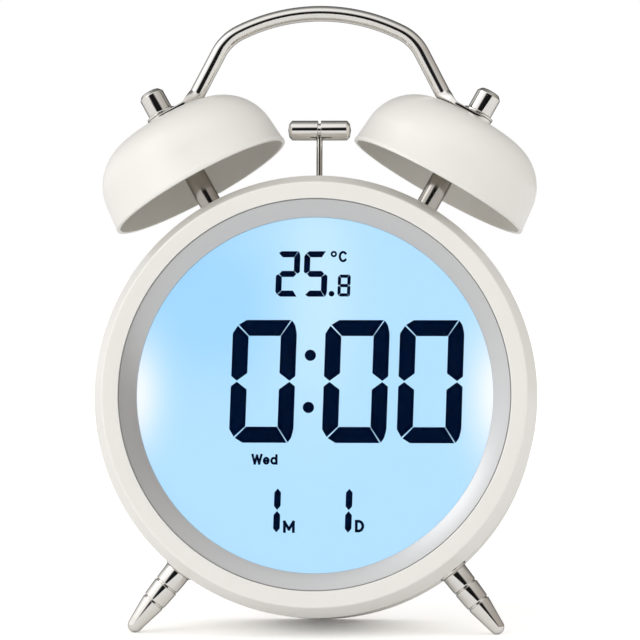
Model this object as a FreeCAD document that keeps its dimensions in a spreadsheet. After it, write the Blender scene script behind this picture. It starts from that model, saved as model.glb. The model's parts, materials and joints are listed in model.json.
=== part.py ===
"""Twin-bell digital alarm clock, leaning back on two turned feet and the rear rim of its case.

Every piece is drawn in the clock's upright frame: +X to the right, +Y to the back, +Z up, with the
axis of the round case along Y through the origin and the front of the bezel at y = 0. STAND then
leans each piece back and sets it on the floor. Lengths are millimetres and angles degrees.
"""
import FreeCAD, Part
import math
import os
import re
import Sketcher
from FreeCAD import Placement, Rotation, Vector

# ---------------------------------------------------------------- driving sizes
SIZES = {
    # stance
    "lean_angle": 7.0,
    # clearances, and how far a cutter or a joined block runs past a face
    "fit": 0.1,
    "play": 0.2,
    "overrun": 1.0,
    # round case: a drum with a rolled rim at the back and a ledge for the rear cover
    "case_radius": 58.3,
    "case_wall": 0.8,
    "case_depth": 49.0,
    "bead_radius": 1.2,
    "bead_height": 0.7,
    "ledge_width": 3.4,
    "ledge_depth": 1.0,
    # front bezel with a spigot that enters the drum
    "bezel_radius": 58.9,
    "bezel_depth": 8.0,
    "bezel_round": 2.9,
    "bezel_bore": 51.9,
    "bezel_face": 3.0,
    "bezel_edge": 0.3,
    "spigot_length": 4.0,
    "spigot_wall": 3.4,
    # display stack
    "ring_window": 47.2,
    "ring_recess": 0.6,
    "ring_slope": 2.6,
    "ring_flange": 1.5,
    "lens_thickness": 1.5,
    "lcd_thickness": 2.2,
    "guide_thickness": 3.3,
    "guide_step": 1.0,
    "frame_wall": 1.3,
    "frame_floor": 1.7,
    "lcd_tab_width": 23.0,
    "lcd_tab_length": 2.4,
    "zebra_width": 21.0,
    "zebra_thickness": 1.5,
    "led_width": 2.0,
    "led_height": 20.0,
    "led_depth": 2.4,
    # main circuit board
    "board_standoff": 3.0,
    "board_thickness": 1.6,
    "board_radius": 52.0,
    "board_screw_pitch": 60.0,
    "boss_radius": 2.6,
    "chip_width": 13.0,
    "chip_height": 1.4,
    "chip_left": -20.0,
    "chip_base": -8.0,
    "crystal_radius": 1.2,
    "crystal_length": 7.0,
    "crystal_gap": 4.0,
    "capacitor_radius": 2.5,
    "capacitor_height": 3.6,
    "capacitor_pitch": 8.0,
    "capacitor_drop": 8.0,
    "capacitor_edge": 0.3,
    "sensor_width": 2.4,
    "sensor_height": 1.6,
    "sensor_inset": 3.0,
    "plug_width": 7.0,
    "plug_height": 4.2,
    "plug_depth": 4.5,
    "plug_shift": 2.0,
    # bells and their posts
    "bell_angle": 29.0,
    "bell_line": 23.0,
    "bell_radius": 25.9,
    "bell_wall": 1.0,
    "bell_flare": 5.0,
    "bell_skirt": 7.4,
    "bell_shoulder": 14.2,
    "bell_crown": 80.0,
    "post_radius": 2.95,
    "post_length": 27.4,
    "post_washer_radius": 3.65,
    "post_washer_height": 0.8,
    "stud_radius": 1.5,
    "stud_depth": 6.0,
    "cap_washer_radius": 4.3,
    "cap_washer_height": 0.6,
    "cap_radius": 3.45,
    "cap_height": 6.9,
    "cap_round": 1.3,
    # carrying handle
    "rod_radius": 2.0,
    "handle_height": 105.9,
    "handle_arch": 49.0,
    "handle_arch_angle": 26.7,
    "handle_shoulder": 13.0,
    "tab_thickness": 1.2,
    "tab_radius": 4.2,
    "tab_reach": 9.5,
    "tab_blend": 7.0,
    # feet
    "foot_angle": 38.4,
    "foot_line": 16.2,
    "foot_radius": 3.6,
    "foot_taper": 0.25,
    "foot_ring": 0.18,
    "foot_first_ring": 4.6,
    "foot_second_ring": 10.0,
    "foot_ring_width": 0.5,
    "foot_tip_radius": 2.0,
    "collar_radius": 4.1,
    "collar_height": 1.1,
    # bell hammer
    "head_height": 73.4,
    "head_length": 17.1,
    "head_radius": 2.7,
    "head_groove": 0.9,
    "head_groove_depth": 0.4,
    "head_edge": 0.6,
    "hammer_rod_radius": 0.825,
    "lever_thickness": 3.0,
    "lever_width": 5.2,
    "lever_top": 50.0,
    "pivot_height": 40.0,
    "pivot_radius": 1.0,
    "hub_radius": 3.2,
    "hub_land": 0.3,
    "neck_rise": 4.0,
    "pin_head_thickness": 0.8,
    "pin_head_width": 0.9,
    "pin_shoulder_width": 0.8,
    "rivet_length": 0.6,
    "fork_gap": 4.7,
    "fork_arm": 2.2,
    "fork_top": 29.5,
    "fork_end": 22.6,
    "hammer_slot_width": 5.0,
    "hammer_slot_depth": 3.4,
    # hammer mechanism
    "bracket_wall": 1.2,
    "bracket_span": 38.0,
    "bracket_front": 17.0,
    "bracket_plate_front": 27.8,
    "bracket_plate_width": 32.0,
    "bracket_plate_end": 6.0,
    "crank_height": 26.0,
    "gear_module": 0.5,
    "pressure_angle": 20.0,
    "gear_backlash": 0.07,
    "pinion_addendum": 0.85,
    "pinion_dedendum": 0.95,
    "crank_addendum": 0.62,
    "crank_dedendum": 1.15,
    "crank_teeth": 36,
    "pinion_teeth": 10,
    "gear_thickness": 2.4,
    "gear_gap": 0.5,
    "hub_height": 0.3,
    "gear_hub_wall": 1.6,
    "gear_web": 0.6,
    "gear_shaft_radius": 1.0,
    "crank_throw": 0.6,
    "crank_pin_radius": 1.2,
    "running_gap": 0.06,
    "motor_width": 12.0,
    "motor_height": 10.0,
    "motor_length": 12.0,
    "motor_round": 2.0,
    "motor_boss_radius": 2.0,
    "motor_shaft_radius": 0.75,
    "motor_shaft_depth": 2.5,
    "motor_shaft_gap": 0.6,
    "motor_screw_pitch": 10.4,
    # rear cover, battery compartment and door
    "cover_recess": 2.2,
    "cover_thickness": 2.0,
    "cell_radius": 7.2,
    "cell_length": 50.4,
    "cell_pitch": 14.8,
    "cell_centre": -20.0,
    "cell_nub_radius": 2.6,
    "cell_nub_length": 1.0,
    "cell_edge": 0.5,
    "bay_width": 56.0,
    "bay_height": 30.0,
    "bay_depth": 17.3,
    "bay_wall": 2.6,
    "door_lip": 1.2,
    "door_thickness": 1.6,
    "door_pin_radius": 0.5,
    "door_pin_length": 0.9,
    "grip_width": 12.0,
    "grip_height": 3.0,
    "grip_depth": 0.7,
    "grip_inset": 2.0,
    "contact_thickness": 0.5,
    "contact_width": 9.0,
    "spring_radius": 3.0,
    "spring_wire": 0.7,
    "spring_turns": 2.0,
    # keys on the rear cover
    "key_line": 33.0,
    "key_radius": 3.5,
    "key_pitch": 13.0,
    "light_key_radius": 6.0,
    "key_flange": 1.0,
    "key_flange_height": 1.2,
    "key_proud": 1.5,
    "key_edge": 0.5,
    "key_travel": 0.6,
    "key_board_width": 66.0,
    "key_board_height": 20.0,
    "key_board_base": 20.6,
    "key_board_thickness": 1.6,
    "key_screw_inset": 3.0,
    "tact_width": 6.0,
    "tact_height": 3.5,
    "switch_line": 24.0,
    "switch_width": 8.6,
    "switch_height": 3.8,
    "switch_rise": 0.3,
    "slider_width": 3.0,
    "slider_height": 1.8,
    "slider_travel": 2.0,
    # screws: a pan head's rim and top are shares of its height and radius
    "head_rim": 0.6,
    "head_top": 0.7,
    "screw_end_gap": 1.0,
    "machine_head_radius": 2.8,
    "machine_head_height": 1.5,
    "machine_screw_depth": 7.0,
    "small_screw_radius": 0.9,
    "small_head_radius": 1.6,
    "small_head_height": 1.1,
    "small_screw_depth": 4.0,
    "tiny_screw_radius": 0.7,
    "tiny_head_radius": 1.3,
    "tiny_head_height": 0.8,
    "tiny_screw_depth": 2.6,
}

# ---------------------------------------------------------------- sizes that follow from them
FORMULAS = {
    "case_inside": "case_radius - case_wall",
    "bead_centre": "case_radius + bead_height - bead_radius",
    "bead_start": "case_depth - bead_radius - sqrt(bead_radius ^ 2 - (case_radius - bead_centre) ^ 2)",
    "ledge_inside": "case_inside - ledge_width",
    "cavity_radius": "case_inside - fit - spigot_wall",
    "spigot_back": "bezel_depth + spigot_length",
    "ring_radius": "bezel_bore - fit",
    "ring_back": "bezel_face + ring_flange",
    "lens_back": "ring_back + lens_thickness",
    "lcd_back": "lens_back + lcd_thickness",
    "guide_back": "lcd_back + guide_thickness",
    "frame_back": "guide_back + frame_floor",
    "frame_radius": "cavity_radius - fit",
    "lcd_corner": "frame_radius - frame_wall - fit",
    "lcd_flat": "lcd_corner * cos(22.5)",
    "lcd_tab_end": "lcd_flat + lcd_tab_length",
    "guide_corner": "lcd_corner - guide_step",
    "guide_flat": "guide_corner * cos(22.5)",
    "frame_screw_circle": "cavity_radius + spigot_wall / 2",
    "board_front": "frame_back + board_standoff",
    "board_back": "board_front + board_thickness",
    "post_base": "case_radius + post_washer_height",
    "post_sag": "crown_inner - sqrt(crown_inner ^ 2 - post_radius ^ 2)",
    "bell_inner_apex": "post_base + post_length + post_sag",
    "bell_apex": "bell_inner_apex + bell_wall",
    "bell_wall_radius": "bell_radius - bell_skirt * tan(bell_flare)",
    "shoulder_r": "bell_wall_radius - bell_shoulder * cos(bell_flare)",
    "shoulder_u": "bell_skirt - bell_shoulder * sin(bell_flare)",
    "crown_r": "shoulder_r + bell_shoulder * cos(bell_crown)",
    "crown_u": "shoulder_u + bell_shoulder * sin(bell_crown)",
    "crown_arc": "crown_r / cos(bell_crown)",
    "crown_centre": "crown_u - crown_arc * sin(bell_crown)",
    "bell_height": "crown_centre + crown_arc",
    "bell_rim_line": "bell_apex - bell_height",
    "shoulder_inner": "bell_shoulder - bell_wall",
    "crown_inner": "crown_arc - bell_wall",
    "stud_hole": "stud_radius + fit",
    "stud_top": "bell_apex + tab_thickness + cap_washer_height + stud_depth",
    "cap_base": "bell_apex + tab_thickness + cap_washer_height",
    "lift": "bead_centre * cos(lean_angle) + (case_depth - bead_radius) * sin(lean_angle) + bead_radius",
    "foot_reach": "(lift - foot_tip_radius - foot_line * sin(lean_angle))"
                  " / (cos(lean_angle) * cos(foot_angle))",
    "foot_base": "case_radius + collar_height",
    "foot_length": "foot_reach - foot_base",
    "foot_waist": "foot_radius - foot_taper",
    "foot_neck": "foot_radius - 2 * foot_taper",
    "bracket_outside": "case_inside - fit",
    "bracket_inside": "bracket_outside - bracket_wall",
    "bracket_middle": "bracket_outside - bracket_wall / 2",
    "post_screw_seat": "sqrt(bracket_inside ^ 2 - machine_head_radius ^ 2)",
    "foot_screw_seat": "sqrt(case_inside ^ 2 - machine_head_radius ^ 2)",
    "bracket_plate_back": "bracket_plate_front + bracket_wall",
    "bracket_width": "bracket_plate_back - bracket_front",
    "lever_front": "bell_line - lever_thickness / 2",
    "lever_back": "bell_line + lever_thickness / 2",
    "gear_front": "lever_back + gear_gap",
    "gear_back": "gear_front + gear_thickness",
    "pinion_height": "crank_height - gear_module * (crank_teeth + pinion_teeth) / 2",
    "rod_end": "pivot_height + hub_radius + hub_land",
    "cover_back": "case_depth - cover_recess",
    "cover_front": "cover_back - cover_thickness",
    "cover_radius": "case_inside - play",
    "cover_screw_circle": "ledge_inside + ledge_width / 2 - play",
    "bay_floor": "cover_back - bay_depth",
    "bay_top": "cell_centre + bay_height / 2",
    "bay_bottom": "cell_centre - bay_height / 2",
    "cell_line": "bay_floor + play + cell_radius",
    "door_front": "cover_back - door_thickness",
    "door_half_width": "bay_width / 2 + door_lip - play",
    "door_top": "bay_top + door_lip - play",
    "door_bottom": "bay_bottom - door_lip + play",
    "door_axis_line": "cover_back - door_thickness / 2",
    "door_axis_height": "door_bottom + door_thickness / 2",
    "tact_back": "key_board_back + tact_height",
    "key_back": "cover_back + key_proud",
    "key_flange_front": "cover_front - fit - key_flange_height",
    "key_board_back": "key_flange_front - key_travel - fit - tact_height",
    "key_board_front": "key_board_back - key_board_thickness",
    "key_screw_pitch": "key_board_width - 2 * key_screw_inset",
    "key_screw_line": "key_board_base + key_screw_inset",
}

doc = FreeCAD.newDocument("AlarmClock")
sheet = doc.addObject("Spreadsheet::Sheet", "Sizes")
for row, (alias, number) in enumerate(SIZES.items(), start=1):
    sheet.set(f"A{row}", alias)
    sheet.set(f"B{row}", str(number))
    sheet.setAlias(f"B{row}", alias)
doc.recompute()


def expand(formula):
    """Write a formula with each size as a reference to its cell."""
    def reference(match):
        word = match.group(0)
        if word in FORMULAS:
            return "(" + expand(FORMULAS[word]) + ")"
        return "Sizes." + word if word in SIZES else word
    return re.sub(r"[a-z_]+", reference, str(formula))


def size(formula):
    """The value of a formula in the sheet's sizes."""
    value = sheet.evalExpression(expand(formula))
    return float(getattr(value, "Value", value))


# ---------------------------------------------------------------- drawing helpers
PIECES = {}


def add_piece(item, placement=Placement()):
    """Keep a sub-part, with its place in the upright clock."""
    PIECES[item.Label] = (item, placement)
    return item


def new_body(name):
    """An empty body labelled with its node's name."""
    body = doc.addObject("PartDesign::Body", name)
    body.Label = name
    return body


def origin_plane(body, role):
    """One of the body's own origin planes."""
    return next(plane for plane in body.Origin.OriginFeatures if plane.Role == role)


def arc_between(start, end, radius, side):
    """The short arc from start to end with its centre on the left (1) or right (-1)."""
    chord = end - start
    left = Vector(-chord.y, chord.x, 0).normalize()
    rise = math.sqrt(max(radius ** 2 - (chord.Length / 2) ** 2, 0))
    centre = (start + end) / 2 + left * (side * rise)
    first, last = (start, end) if side > 0 else (end, start)
    angles = [math.atan2(point.y - centre.y, point.x - centre.x) for point in (first, last)]
    return Part.ArcOfCircle(Part.Circle(centre, Vector(0, 0, 1), radius), *angles)


def draw(body, plane, corners=(), circles=(), offset="0", turn="0"):
    """A sketch of one closed outline and of circles, each size bound to its formula.

    A corner is (x, y), or (x, y, radius, side) where an arc leads to the next corner.
    A circle is (x, y, radius). The plane is moved by offset along its normal and turned
    about its own vertical axis.
    """
    sketch = body.newObject("Sketcher::SketchObject", body.Name + "_sketch")
    sketch.AttachmentSupport = [(origin_plane(body, plane), "")]
    sketch.MapMode = "FlatFace"
    sketch.AttachmentOffset = Placement(Vector(0, 0, size(offset)), Rotation(Vector(0, 1, 0), size(turn)))
    sketch.setExpression(".AttachmentOffset.Base.z", expand(offset))
    if turn != "0":
        sketch.setExpression(".AttachmentOffset.Rotation.Angle", expand(turn))
    points = [Vector(size(corner[0]), size(corner[1]), 0) for corner in corners]
    lines = []
    ends = []
    bound = []
    for number, corner in enumerate(corners):
        start = points[number]
        end = points[(number + 1) % len(points)]
        if len(corner) == 4:
            radius, side = corner[2], corner[3]
            lines.append(arc_between(start, end, size(radius), side))
            ends.append((1, 2) if side > 0 else (2, 1))
            bound.append((("Radius", number), radius))
        else:
            lines.append(Part.LineSegment(start, end))
            ends.append((1, 2))
        bound.append((("DistanceX", -1, 1, number, ends[-1][0]), corner[0]))
        bound.append((("DistanceY", -1, 1, number, ends[-1][0]), corner[1]))
    for number, (across, along, radius) in enumerate(circles, start=len(lines)):
        centre = Vector(size(across), size(along), 0)
        lines.append(Part.Circle(centre, Vector(0, 0, 1), size(radius)))
        bound.append((("DistanceX", -1, 1, number, 3), across))
        bound.append((("DistanceY", -1, 1, number, 3), along))
        bound.append((("Radius", number), radius))
    sketch.addGeometry(lines, False)
    joins = [
        Sketcher.Constraint("Coincident", number, ends[number][1],
                            (number + 1) % len(corners), ends[(number + 1) % len(corners)][0])
        for number in range(len(corners))
    ]
    sizes = [Sketcher.Constraint(*kind, size(formula)) for kind, formula in bound]
    sketch.addConstraint(joins + sizes)
    for number, (kind, formula) in enumerate(bound, start=len(joins)):
        sketch.setExpression(f"Constraints[{number}]", expand(formula))
    return sketch


def feature(body, kind, sketch, grows, **settings):
    """Add a PartDesign feature and make sure that it changed the body's volume."""
    doc.recompute()
    before = body.Shape.Volume if body.Tip and not body.Shape.isNull() else 0
    made = body.newObject("PartDesign::" + kind, body.Name + "_" + kind.lower())
    made.Profile = sketch
    for name, value in settings.items():
        if isinstance(value, str) and name in ("Length", "Angle"):
            made.setExpression(name, expand(value))
        else:
            setattr(made, name, value)
    doc.recompute()
    if (body.Shape.Volume > before) != grows or body.Shape.Volume == before:
        raise RuntimeError(f"{body.Label}: {kind} left the volume at {before:.2f}")
    return made


def turned(name, corners, plane="XZ_Plane"):
    """A body turned about the vertical axis of a sketch on the plane."""
    body = new_body(name)
    sketch = draw(body, plane, corners)
    feature(body, "Revolution", sketch, True, ReferenceAxis=(sketch, ["V_Axis"]), Angle="360")
    return body


def raise_pad(body, start, length, corners=(), circles=()):
    """Add a prism from depth start, going back by length."""
    sketch = draw(body, "XZ_Plane", corners, circles, f"-({start})")
    return feature(body, "Pad", sketch, True, Length=length, Reversed=True)


def cut_back(body, start, length, corners=(), circles=()):
    """Cut a prism from depth start, going back by length."""
    sketch = draw(body, "XZ_Plane", corners, circles, f"-({start})")
    return feature(body, "Pocket", sketch, False, Length=length)


def cut_radial(body, angle, corners=(), circles=()):
    """Cut outwards from the case's axis at an angle from the top."""
    sketch = draw(body, "XY_Plane", corners, circles, turn=angle)
    return feature(body, "Pocket", sketch, False, Length="2 * bezel_radius", Reversed=True)


def rectangle(left, right, bottom, top):
    """The corners of a rectangle."""
    return [(left, bottom), (right, bottom), (right, top), (left, top)]


def octagon(radius):
    """The corners of an octagon that stands on a flat side."""
    return [(f"{radius} * cos({22.5 + 45 * step})", f"{radius} * sin({22.5 + 45 * step})")
            for step in range(8)]


def block(name, left, right, start, length, bottom, top):
    """A rectangular block, from its sides, its front depth and its depth."""
    body = new_body(name)
    raise_pad(body, start, length, rectangle(left, right, bottom, top))
    return body


def group(name, members):
    """Like pieces that share one node: pairs of a sub-part and its place."""
    links = []
    for item, placement in members:
        link = doc.addObject("App::Link", name + "_link")
        link.LinkedObject = item
        link.Placement = placement
        links.append(link)
    compound = doc.addObject("Part::Compound", name)
    compound.Label = name
    compound.Links = links
    return add_piece(compound)


def radial(angle, radius, line):
    """The place whose +Z points outwards at an angle from the top of the case."""
    turn = Rotation(Vector(0, 1, 0), angle)
    return Placement(turn.multVec(Vector(0, 0, radius)) + Vector(0, line, 0), turn)


def facing_back(across, depth, height):
    """The place whose +Z points to the back of the clock."""
    return Placement(Vector(across, depth, height), Rotation(Vector(1, 0, 0), -90))


FLIP = Placement(Vector(), Rotation(Vector(1, 0, 0), 180))
SIDES = {"left": -1, "right": 1}
QUARTERS = [45, 135, 225, 315]


def on_circle(circle, angle):
    """The x and z of a point on a circle about the case's axis."""
    return size(circle) * math.cos(math.radians(angle)), size(circle) * math.sin(math.radians(angle))


def screw(name, head_radius, head_height, shank_radius, shank_length):
    """A pan-head screw along Z, with the head's underside at z = 0 and the head above it."""
    return turned(name, [
        ("0", f"-({shank_length})"), (shank_radius, f"-({shank_length})"), (shank_radius, "0"),
        (head_radius, "0"), (head_radius, f"{head_height} * head_rim"),
        (f"{head_radius} * head_top", head_height), ("0", head_height),
    ])


# ---------------------------------------------------------------- case
def make_case():
    """The round drum, front bezel and rear cover seat."""
    drum = turned("case_drum", [
        ("case_radius", "bezel_depth"),
        ("case_radius", "bead_start", "bead_radius", 1),
        ("bead_centre", "case_depth"),
        ("case_inside", "case_depth"),
        ("case_inside", "cover_front"),
        ("ledge_inside", "cover_front"),
        ("ledge_inside", "cover_front - ledge_depth"),
        ("case_inside", "cover_front - ledge_depth"),
        ("case_inside", "bezel_depth"),
    ], "XY_Plane")
    for side in SIDES.values():
        cut_radial(drum, f"{side} * bell_angle", circles=[("0", "bell_line", "stud_hole")])
        cut_radial(drum, f"180 - {side} * foot_angle", circles=[("0", "foot_line", "stud_hole")])
    half_width = "hammer_slot_width / 2"
    half_depth = "hammer_slot_depth / 2"
    cut_radial(drum, "0", rectangle(f"-{half_width}", half_width,
                                    f"bell_line - {half_depth}", f"bell_line + {half_depth}"))
    for angle in QUARTERS:
        cut_back(drum, "cover_front - 2 * ledge_depth", "3 * ledge_depth",
                 circles=[(f"cover_screw_circle * cos({angle})", f"cover_screw_circle * sin({angle})",
                           "small_screw_radius + fit / 2")])
    add_piece(drum)

    bezel = turned("front_bezel", [
        ("bezel_bore", "bezel_edge"),
        ("bezel_bore + bezel_edge", "0"),
        ("bezel_radius - bezel_round", "0", "bezel_round", 1),
        ("bezel_radius", "bezel_round"),
        ("bezel_radius", "bezel_depth - bezel_edge"),
        ("bezel_radius - bezel_edge", "bezel_depth"),
        ("case_inside - fit", "bezel_depth"),
        ("case_inside - fit", "spigot_back"),
        ("cavity_radius", "spigot_back"),
        ("cavity_radius", "bezel_face"),
        ("bezel_bore", "bezel_face"),
    ], "XY_Plane")
    for angle in QUARTERS:
        cut_back(bezel, "spigot_back - small_screw_depth - fit", "2 * small_screw_depth",
                 circles=[(f"frame_screw_circle * cos({angle})", f"frame_screw_circle * sin({angle})",
                           "small_screw_radius + fit / 2")])
    add_piece(bezel)


# ---------------------------------------------------------------- display
def make_display():
    """Everything from the lens back to the tray that holds the display in the bezel."""
    add_piece(turned("dial_ring", [
        ("ring_radius", "ring_recess"),
        ("ring_radius", "bezel_face"),
        ("cavity_radius - fit", "bezel_face"),
        ("cavity_radius - fit", "ring_back"),
        ("ring_window", "ring_back"),
        ("ring_window", "ring_recess + ring_slope"),
    ], "XY_Plane"))

    lens = new_body("front_lens")
    raise_pad(lens, "ring_back", "lens_thickness", circles=[("0", "0", "cavity_radius - fit")])
    add_piece(lens)

    half_tab = "lcd_tab_width / 2"
    lcd = new_body("lcd_panel")
    raise_pad(lcd, "lens_back", "lcd_thickness", octagon("lcd_corner"))
    raise_pad(lcd, "lens_back", "lcd_thickness",
              rectangle(f"-{half_tab}", half_tab, "-lcd_tab_end", "-lcd_flat + overrun"))
    add_piece(lcd)

    guide = new_body("light_guide")
    raise_pad(guide, "lcd_back", "guide_thickness", octagon("guide_corner"))
    add_piece(guide)

    led = block("led_strip", "guide_flat + fit", "guide_flat + fit + led_width",
                "lcd_back + (guide_thickness - led_depth) / 2", "led_depth",
                "-led_height / 2", "led_height / 2")
    half_turn = Placement(Vector(), Rotation(Vector(0, 1, 0), 180))
    group("backlight_leds", [(led, Placement()), (led, half_turn)])

    zebra_top = "-lcd_tab_end + fit + zebra_thickness"
    add_piece(block("zebra_connector", "-zebra_width / 2", "zebra_width / 2",
                    "lcd_back", "board_front - lcd_back", "-lcd_tab_end + fit", zebra_top))

    tray = turned("display_frame", [
        ("0", "lens_back"),
        ("frame_radius", "lens_back"),
        ("frame_radius", "spigot_back"),
        ("case_inside - fit", "spigot_back"),
        ("case_inside - fit", "frame_back"),
        ("0", "frame_back"),
    ], "XY_Plane")
    cut_back(tray, "lens_back", "lcd_thickness", octagon("(lcd_corner + fit)"))
    cut_back(tray, "lens_back", "lcd_thickness",
             rectangle(f"-{half_tab} - fit", f"{half_tab} + fit", "-lcd_tab_end - fit", "-lcd_flat + overrun"))
    cut_back(tray, "lcd_back", "guide_thickness", octagon("(guide_corner + fit)"))
    reach = "guide_flat + led_width + 2 * fit"
    for side in SIDES.values():
        near, far = f"{side} * (guide_flat - overrun)", f"{side} * ({reach})"
        left, right = (near, far) if side > 0 else (far, near)
        cut_back(tray, "lcd_back", "guide_thickness",
                 rectangle(left, right, "-led_height / 2 - fit", "led_height / 2 + fit"))
    cut_back(tray, "lcd_back", "frame_back - lcd_back + overrun",
             rectangle("-zebra_width / 2 - fit", "zebra_width / 2 + fit",
                       "-lcd_tab_end", zebra_top + " + fit"))
    half_pitch = "board_screw_pitch / 2"
    posts = [(f"{across} * {half_pitch}", f"{up} * {half_pitch}") for across in (-1, 1) for up in (-1, 1)]
    raise_pad(tray, "frame_back", "board_standoff",
              circles=[(across, up, "boss_radius") for across, up in posts])
    cut_back(tray, "board_front - small_screw_depth + board_thickness", "2 * small_screw_depth",
             circles=[(across, up, "small_screw_radius + fit / 2") for across, up in posts])
    for angle in QUARTERS:
        cut_back(tray, "spigot_back - overrun", "frame_back",
                 circles=[(f"frame_screw_circle * cos({angle})", f"frame_screw_circle * sin({angle})",
                           "small_screw_radius + fit / 2")])
    add_piece(tray)


# ---------------------------------------------------------------- electronics
def make_main_board():
    """The main circuit board and what is soldered to its back."""
    half_pitch = "board_screw_pitch / 2"
    corners = [(across, up) for across in (-1, 1) for up in (-1, 1)]
    board = new_body("main_board")
    raise_pad(board, "board_front", "board_thickness", circles=[("0", "0", "board_radius")])
    cut_back(board, "board_front - overrun", "board_thickness + 2 * overrun",
             circles=[(f"{across} * {half_pitch}", f"{up} * {half_pitch}", "small_screw_radius + fit")
                      for across, up in corners])
    add_piece(board)
    add_piece(block("control_chip", "chip_left", "chip_left + chip_width", "board_back", "chip_height",
                    "chip_base", "chip_base + chip_width"))
    crystal = turned("clock_crystal", [
        ("0", "0"), ("crystal_radius", "0"), ("crystal_radius", "crystal_length"), ("0", "crystal_length"),
    ])
    add_piece(crystal, Placement(Vector(size("chip_left + chip_width + crystal_gap"),
                                        size("board_back + crystal_radius"), size("chip_base")),
                                 Rotation()))
    capacitor = turned("capacitor", [
        ("0", "0"), ("capacitor_radius", "0"), ("capacitor_radius", "capacitor_height - capacitor_edge"),
        ("capacitor_radius - capacitor_edge", "capacitor_height"), ("0", "capacitor_height"),
    ])
    group("board_capacitors", [
        (capacitor, facing_back(size("chip_left") + step * size("capacitor_pitch"), size("board_back"),
                                size("chip_base - capacitor_drop")))
        for step in range(2)
    ])
    add_piece(block("temperature_sensor", "-sensor_width / 2", "sensor_width / 2", "board_back",
                    "sensor_height", "-board_radius + sensor_inset",
                    "-board_radius + sensor_inset + sensor_width"))
    plug = block("plug", "-plug_width / 2", "plug_width / 2", "board_back", "plug_depth",
                 "-plug_height / 2", "plug_height / 2")
    group("board_plugs", [
        (plug, Placement(Vector(side * size("board_screw_pitch / 2 + plug_shift"), 0, 0), Rotation()))
        for side in SIDES.values()
    ])

    small = screw("small_screw", "small_head_radius", "small_head_height", "small_screw_radius",
                  "small_screw_depth")
    group("board_screws", [
        (small, facing_back(across * size(half_pitch), size("board_back"), up * size(half_pitch)))
        for across, up in corners
    ])
    for name, circle, seat in (("display_screws", "frame_screw_circle", "frame_back"),
                               ("cover_screws", "cover_screw_circle", "cover_back")):
        members = []
        for angle in QUARTERS:
            across, up = on_circle(circle, angle)
            members.append((small, facing_back(across, size(seat), up)))
        group(name, members)
    return small


# ---------------------------------------------------------------- bells
def make_bells():
    """The two bells with their posts, studs, washers and cap nuts."""
    rim_inner = "bell_radius - bell_wall / cos(bell_flare)"
    hole_top = "crown_centre + sqrt(crown_arc ^ 2 - stud_hole ^ 2)"
    hole_bottom = "crown_centre + sqrt(crown_inner ^ 2 - stud_hole ^ 2)"
    members = {"post_washers": [], "post_screws": [], "bell_studs": [], "cap_washers": [], "cap_nuts": []}
    washer = turned("post_washer", [
        ("stud_hole", "0"), ("post_washer_radius", "0"),
        ("post_washer_radius", "post_washer_height"), ("stud_hole", "post_washer_height"),
    ])
    machine_screw = screw("machine_screw", "machine_head_radius", "machine_head_height", "stud_radius",
                          "post_base - post_screw_seat + machine_screw_depth")
    stud = turned("bell_stud", [
        ("0", "bell_inner_apex - stud_depth"), ("stud_radius", "bell_inner_apex - stud_depth"),
        ("stud_radius", "stud_top - screw_end_gap"), ("0", "stud_top - screw_end_gap"),
    ])
    cap_washer = turned("cap_washer", [
        ("stud_hole", "0"), ("cap_washer_radius", "0"),
        ("cap_washer_radius", "cap_washer_height"), ("stud_hole", "cap_washer_height"),
    ])
    cap_nut = turned("cap_nut", [
        ("stud_hole", "0"), ("cap_radius", "0"),
        ("cap_radius", "cap_height - cap_round", "cap_round", 1),
        ("cap_radius - cap_round", "cap_height"), ("0", "cap_height"),
        ("0", "stud_depth"), ("stud_hole", "stud_depth"),
    ])
    for side, sign in SIDES.items():
        angle = sign * size("bell_angle")
        line = size("bell_line")
        bell = turned(side + "_bell", [
            ("bell_radius", "0"),
            ("bell_wall_radius", "bell_skirt", "bell_shoulder", 1),
            ("crown_r", "crown_u", "crown_arc", 1),
            ("stud_hole", hole_top),
            ("stud_hole", hole_bottom, "crown_inner", -1),
            ("shoulder_r + shoulder_inner * cos(bell_crown)",
             "shoulder_u + shoulder_inner * sin(bell_crown)", "shoulder_inner", -1),
            ("shoulder_r + shoulder_inner * cos(bell_flare)",
             "shoulder_u + shoulder_inner * sin(bell_flare)"),
            (rim_inner, "0"),
        ])
        add_piece(bell, radial(angle, size("bell_rim_line"), line))
        post = turned(side + "_bell_post", [
            ("stud_hole", "0"), ("post_radius", "0"), ("post_radius", "post_length"),
            ("stud_hole", "post_length"), ("stud_hole", "post_length - stud_depth - screw_end_gap"),
            ("0", "post_length - stud_depth - screw_end_gap"),
            ("0", "machine_screw_depth + screw_end_gap"),
            ("stud_hole", "machine_screw_depth + screw_end_gap"),
        ])
        add_piece(post, radial(angle, size("post_base"), line))
        members["post_washers"].append((washer, radial(angle, size("case_radius"), line)))
        members["post_screws"].append(
            (machine_screw, radial(angle, size("post_screw_seat"), line).multiply(FLIP)))
        members["bell_studs"].append((stud, radial(angle, 0, line)))
        members["cap_washers"].append((cap_washer, radial(angle, size("bell_apex + tab_thickness"), line)))
        members["cap_nuts"].append((cap_nut, radial(angle, size("cap_base"), line)))
    for name, pairs in members.items():
        group(name, pairs)


# ---------------------------------------------------------------- handle
def four_arcs(centre, across, along, radius):
    """A circle as four arcs that match the corners of a rectangle."""
    edges = []
    for step in range(4):
        angles = [math.radians(45 + 90 * step + extra) for extra in (0, 45, 90)]
        points = [centre + across * (radius * math.cos(angle)) + along * (radius * math.sin(angle))
                  for angle in angles]
        edges.append(Part.Arc(*points).toShape())
    return Part.Wire(edges)


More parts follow.
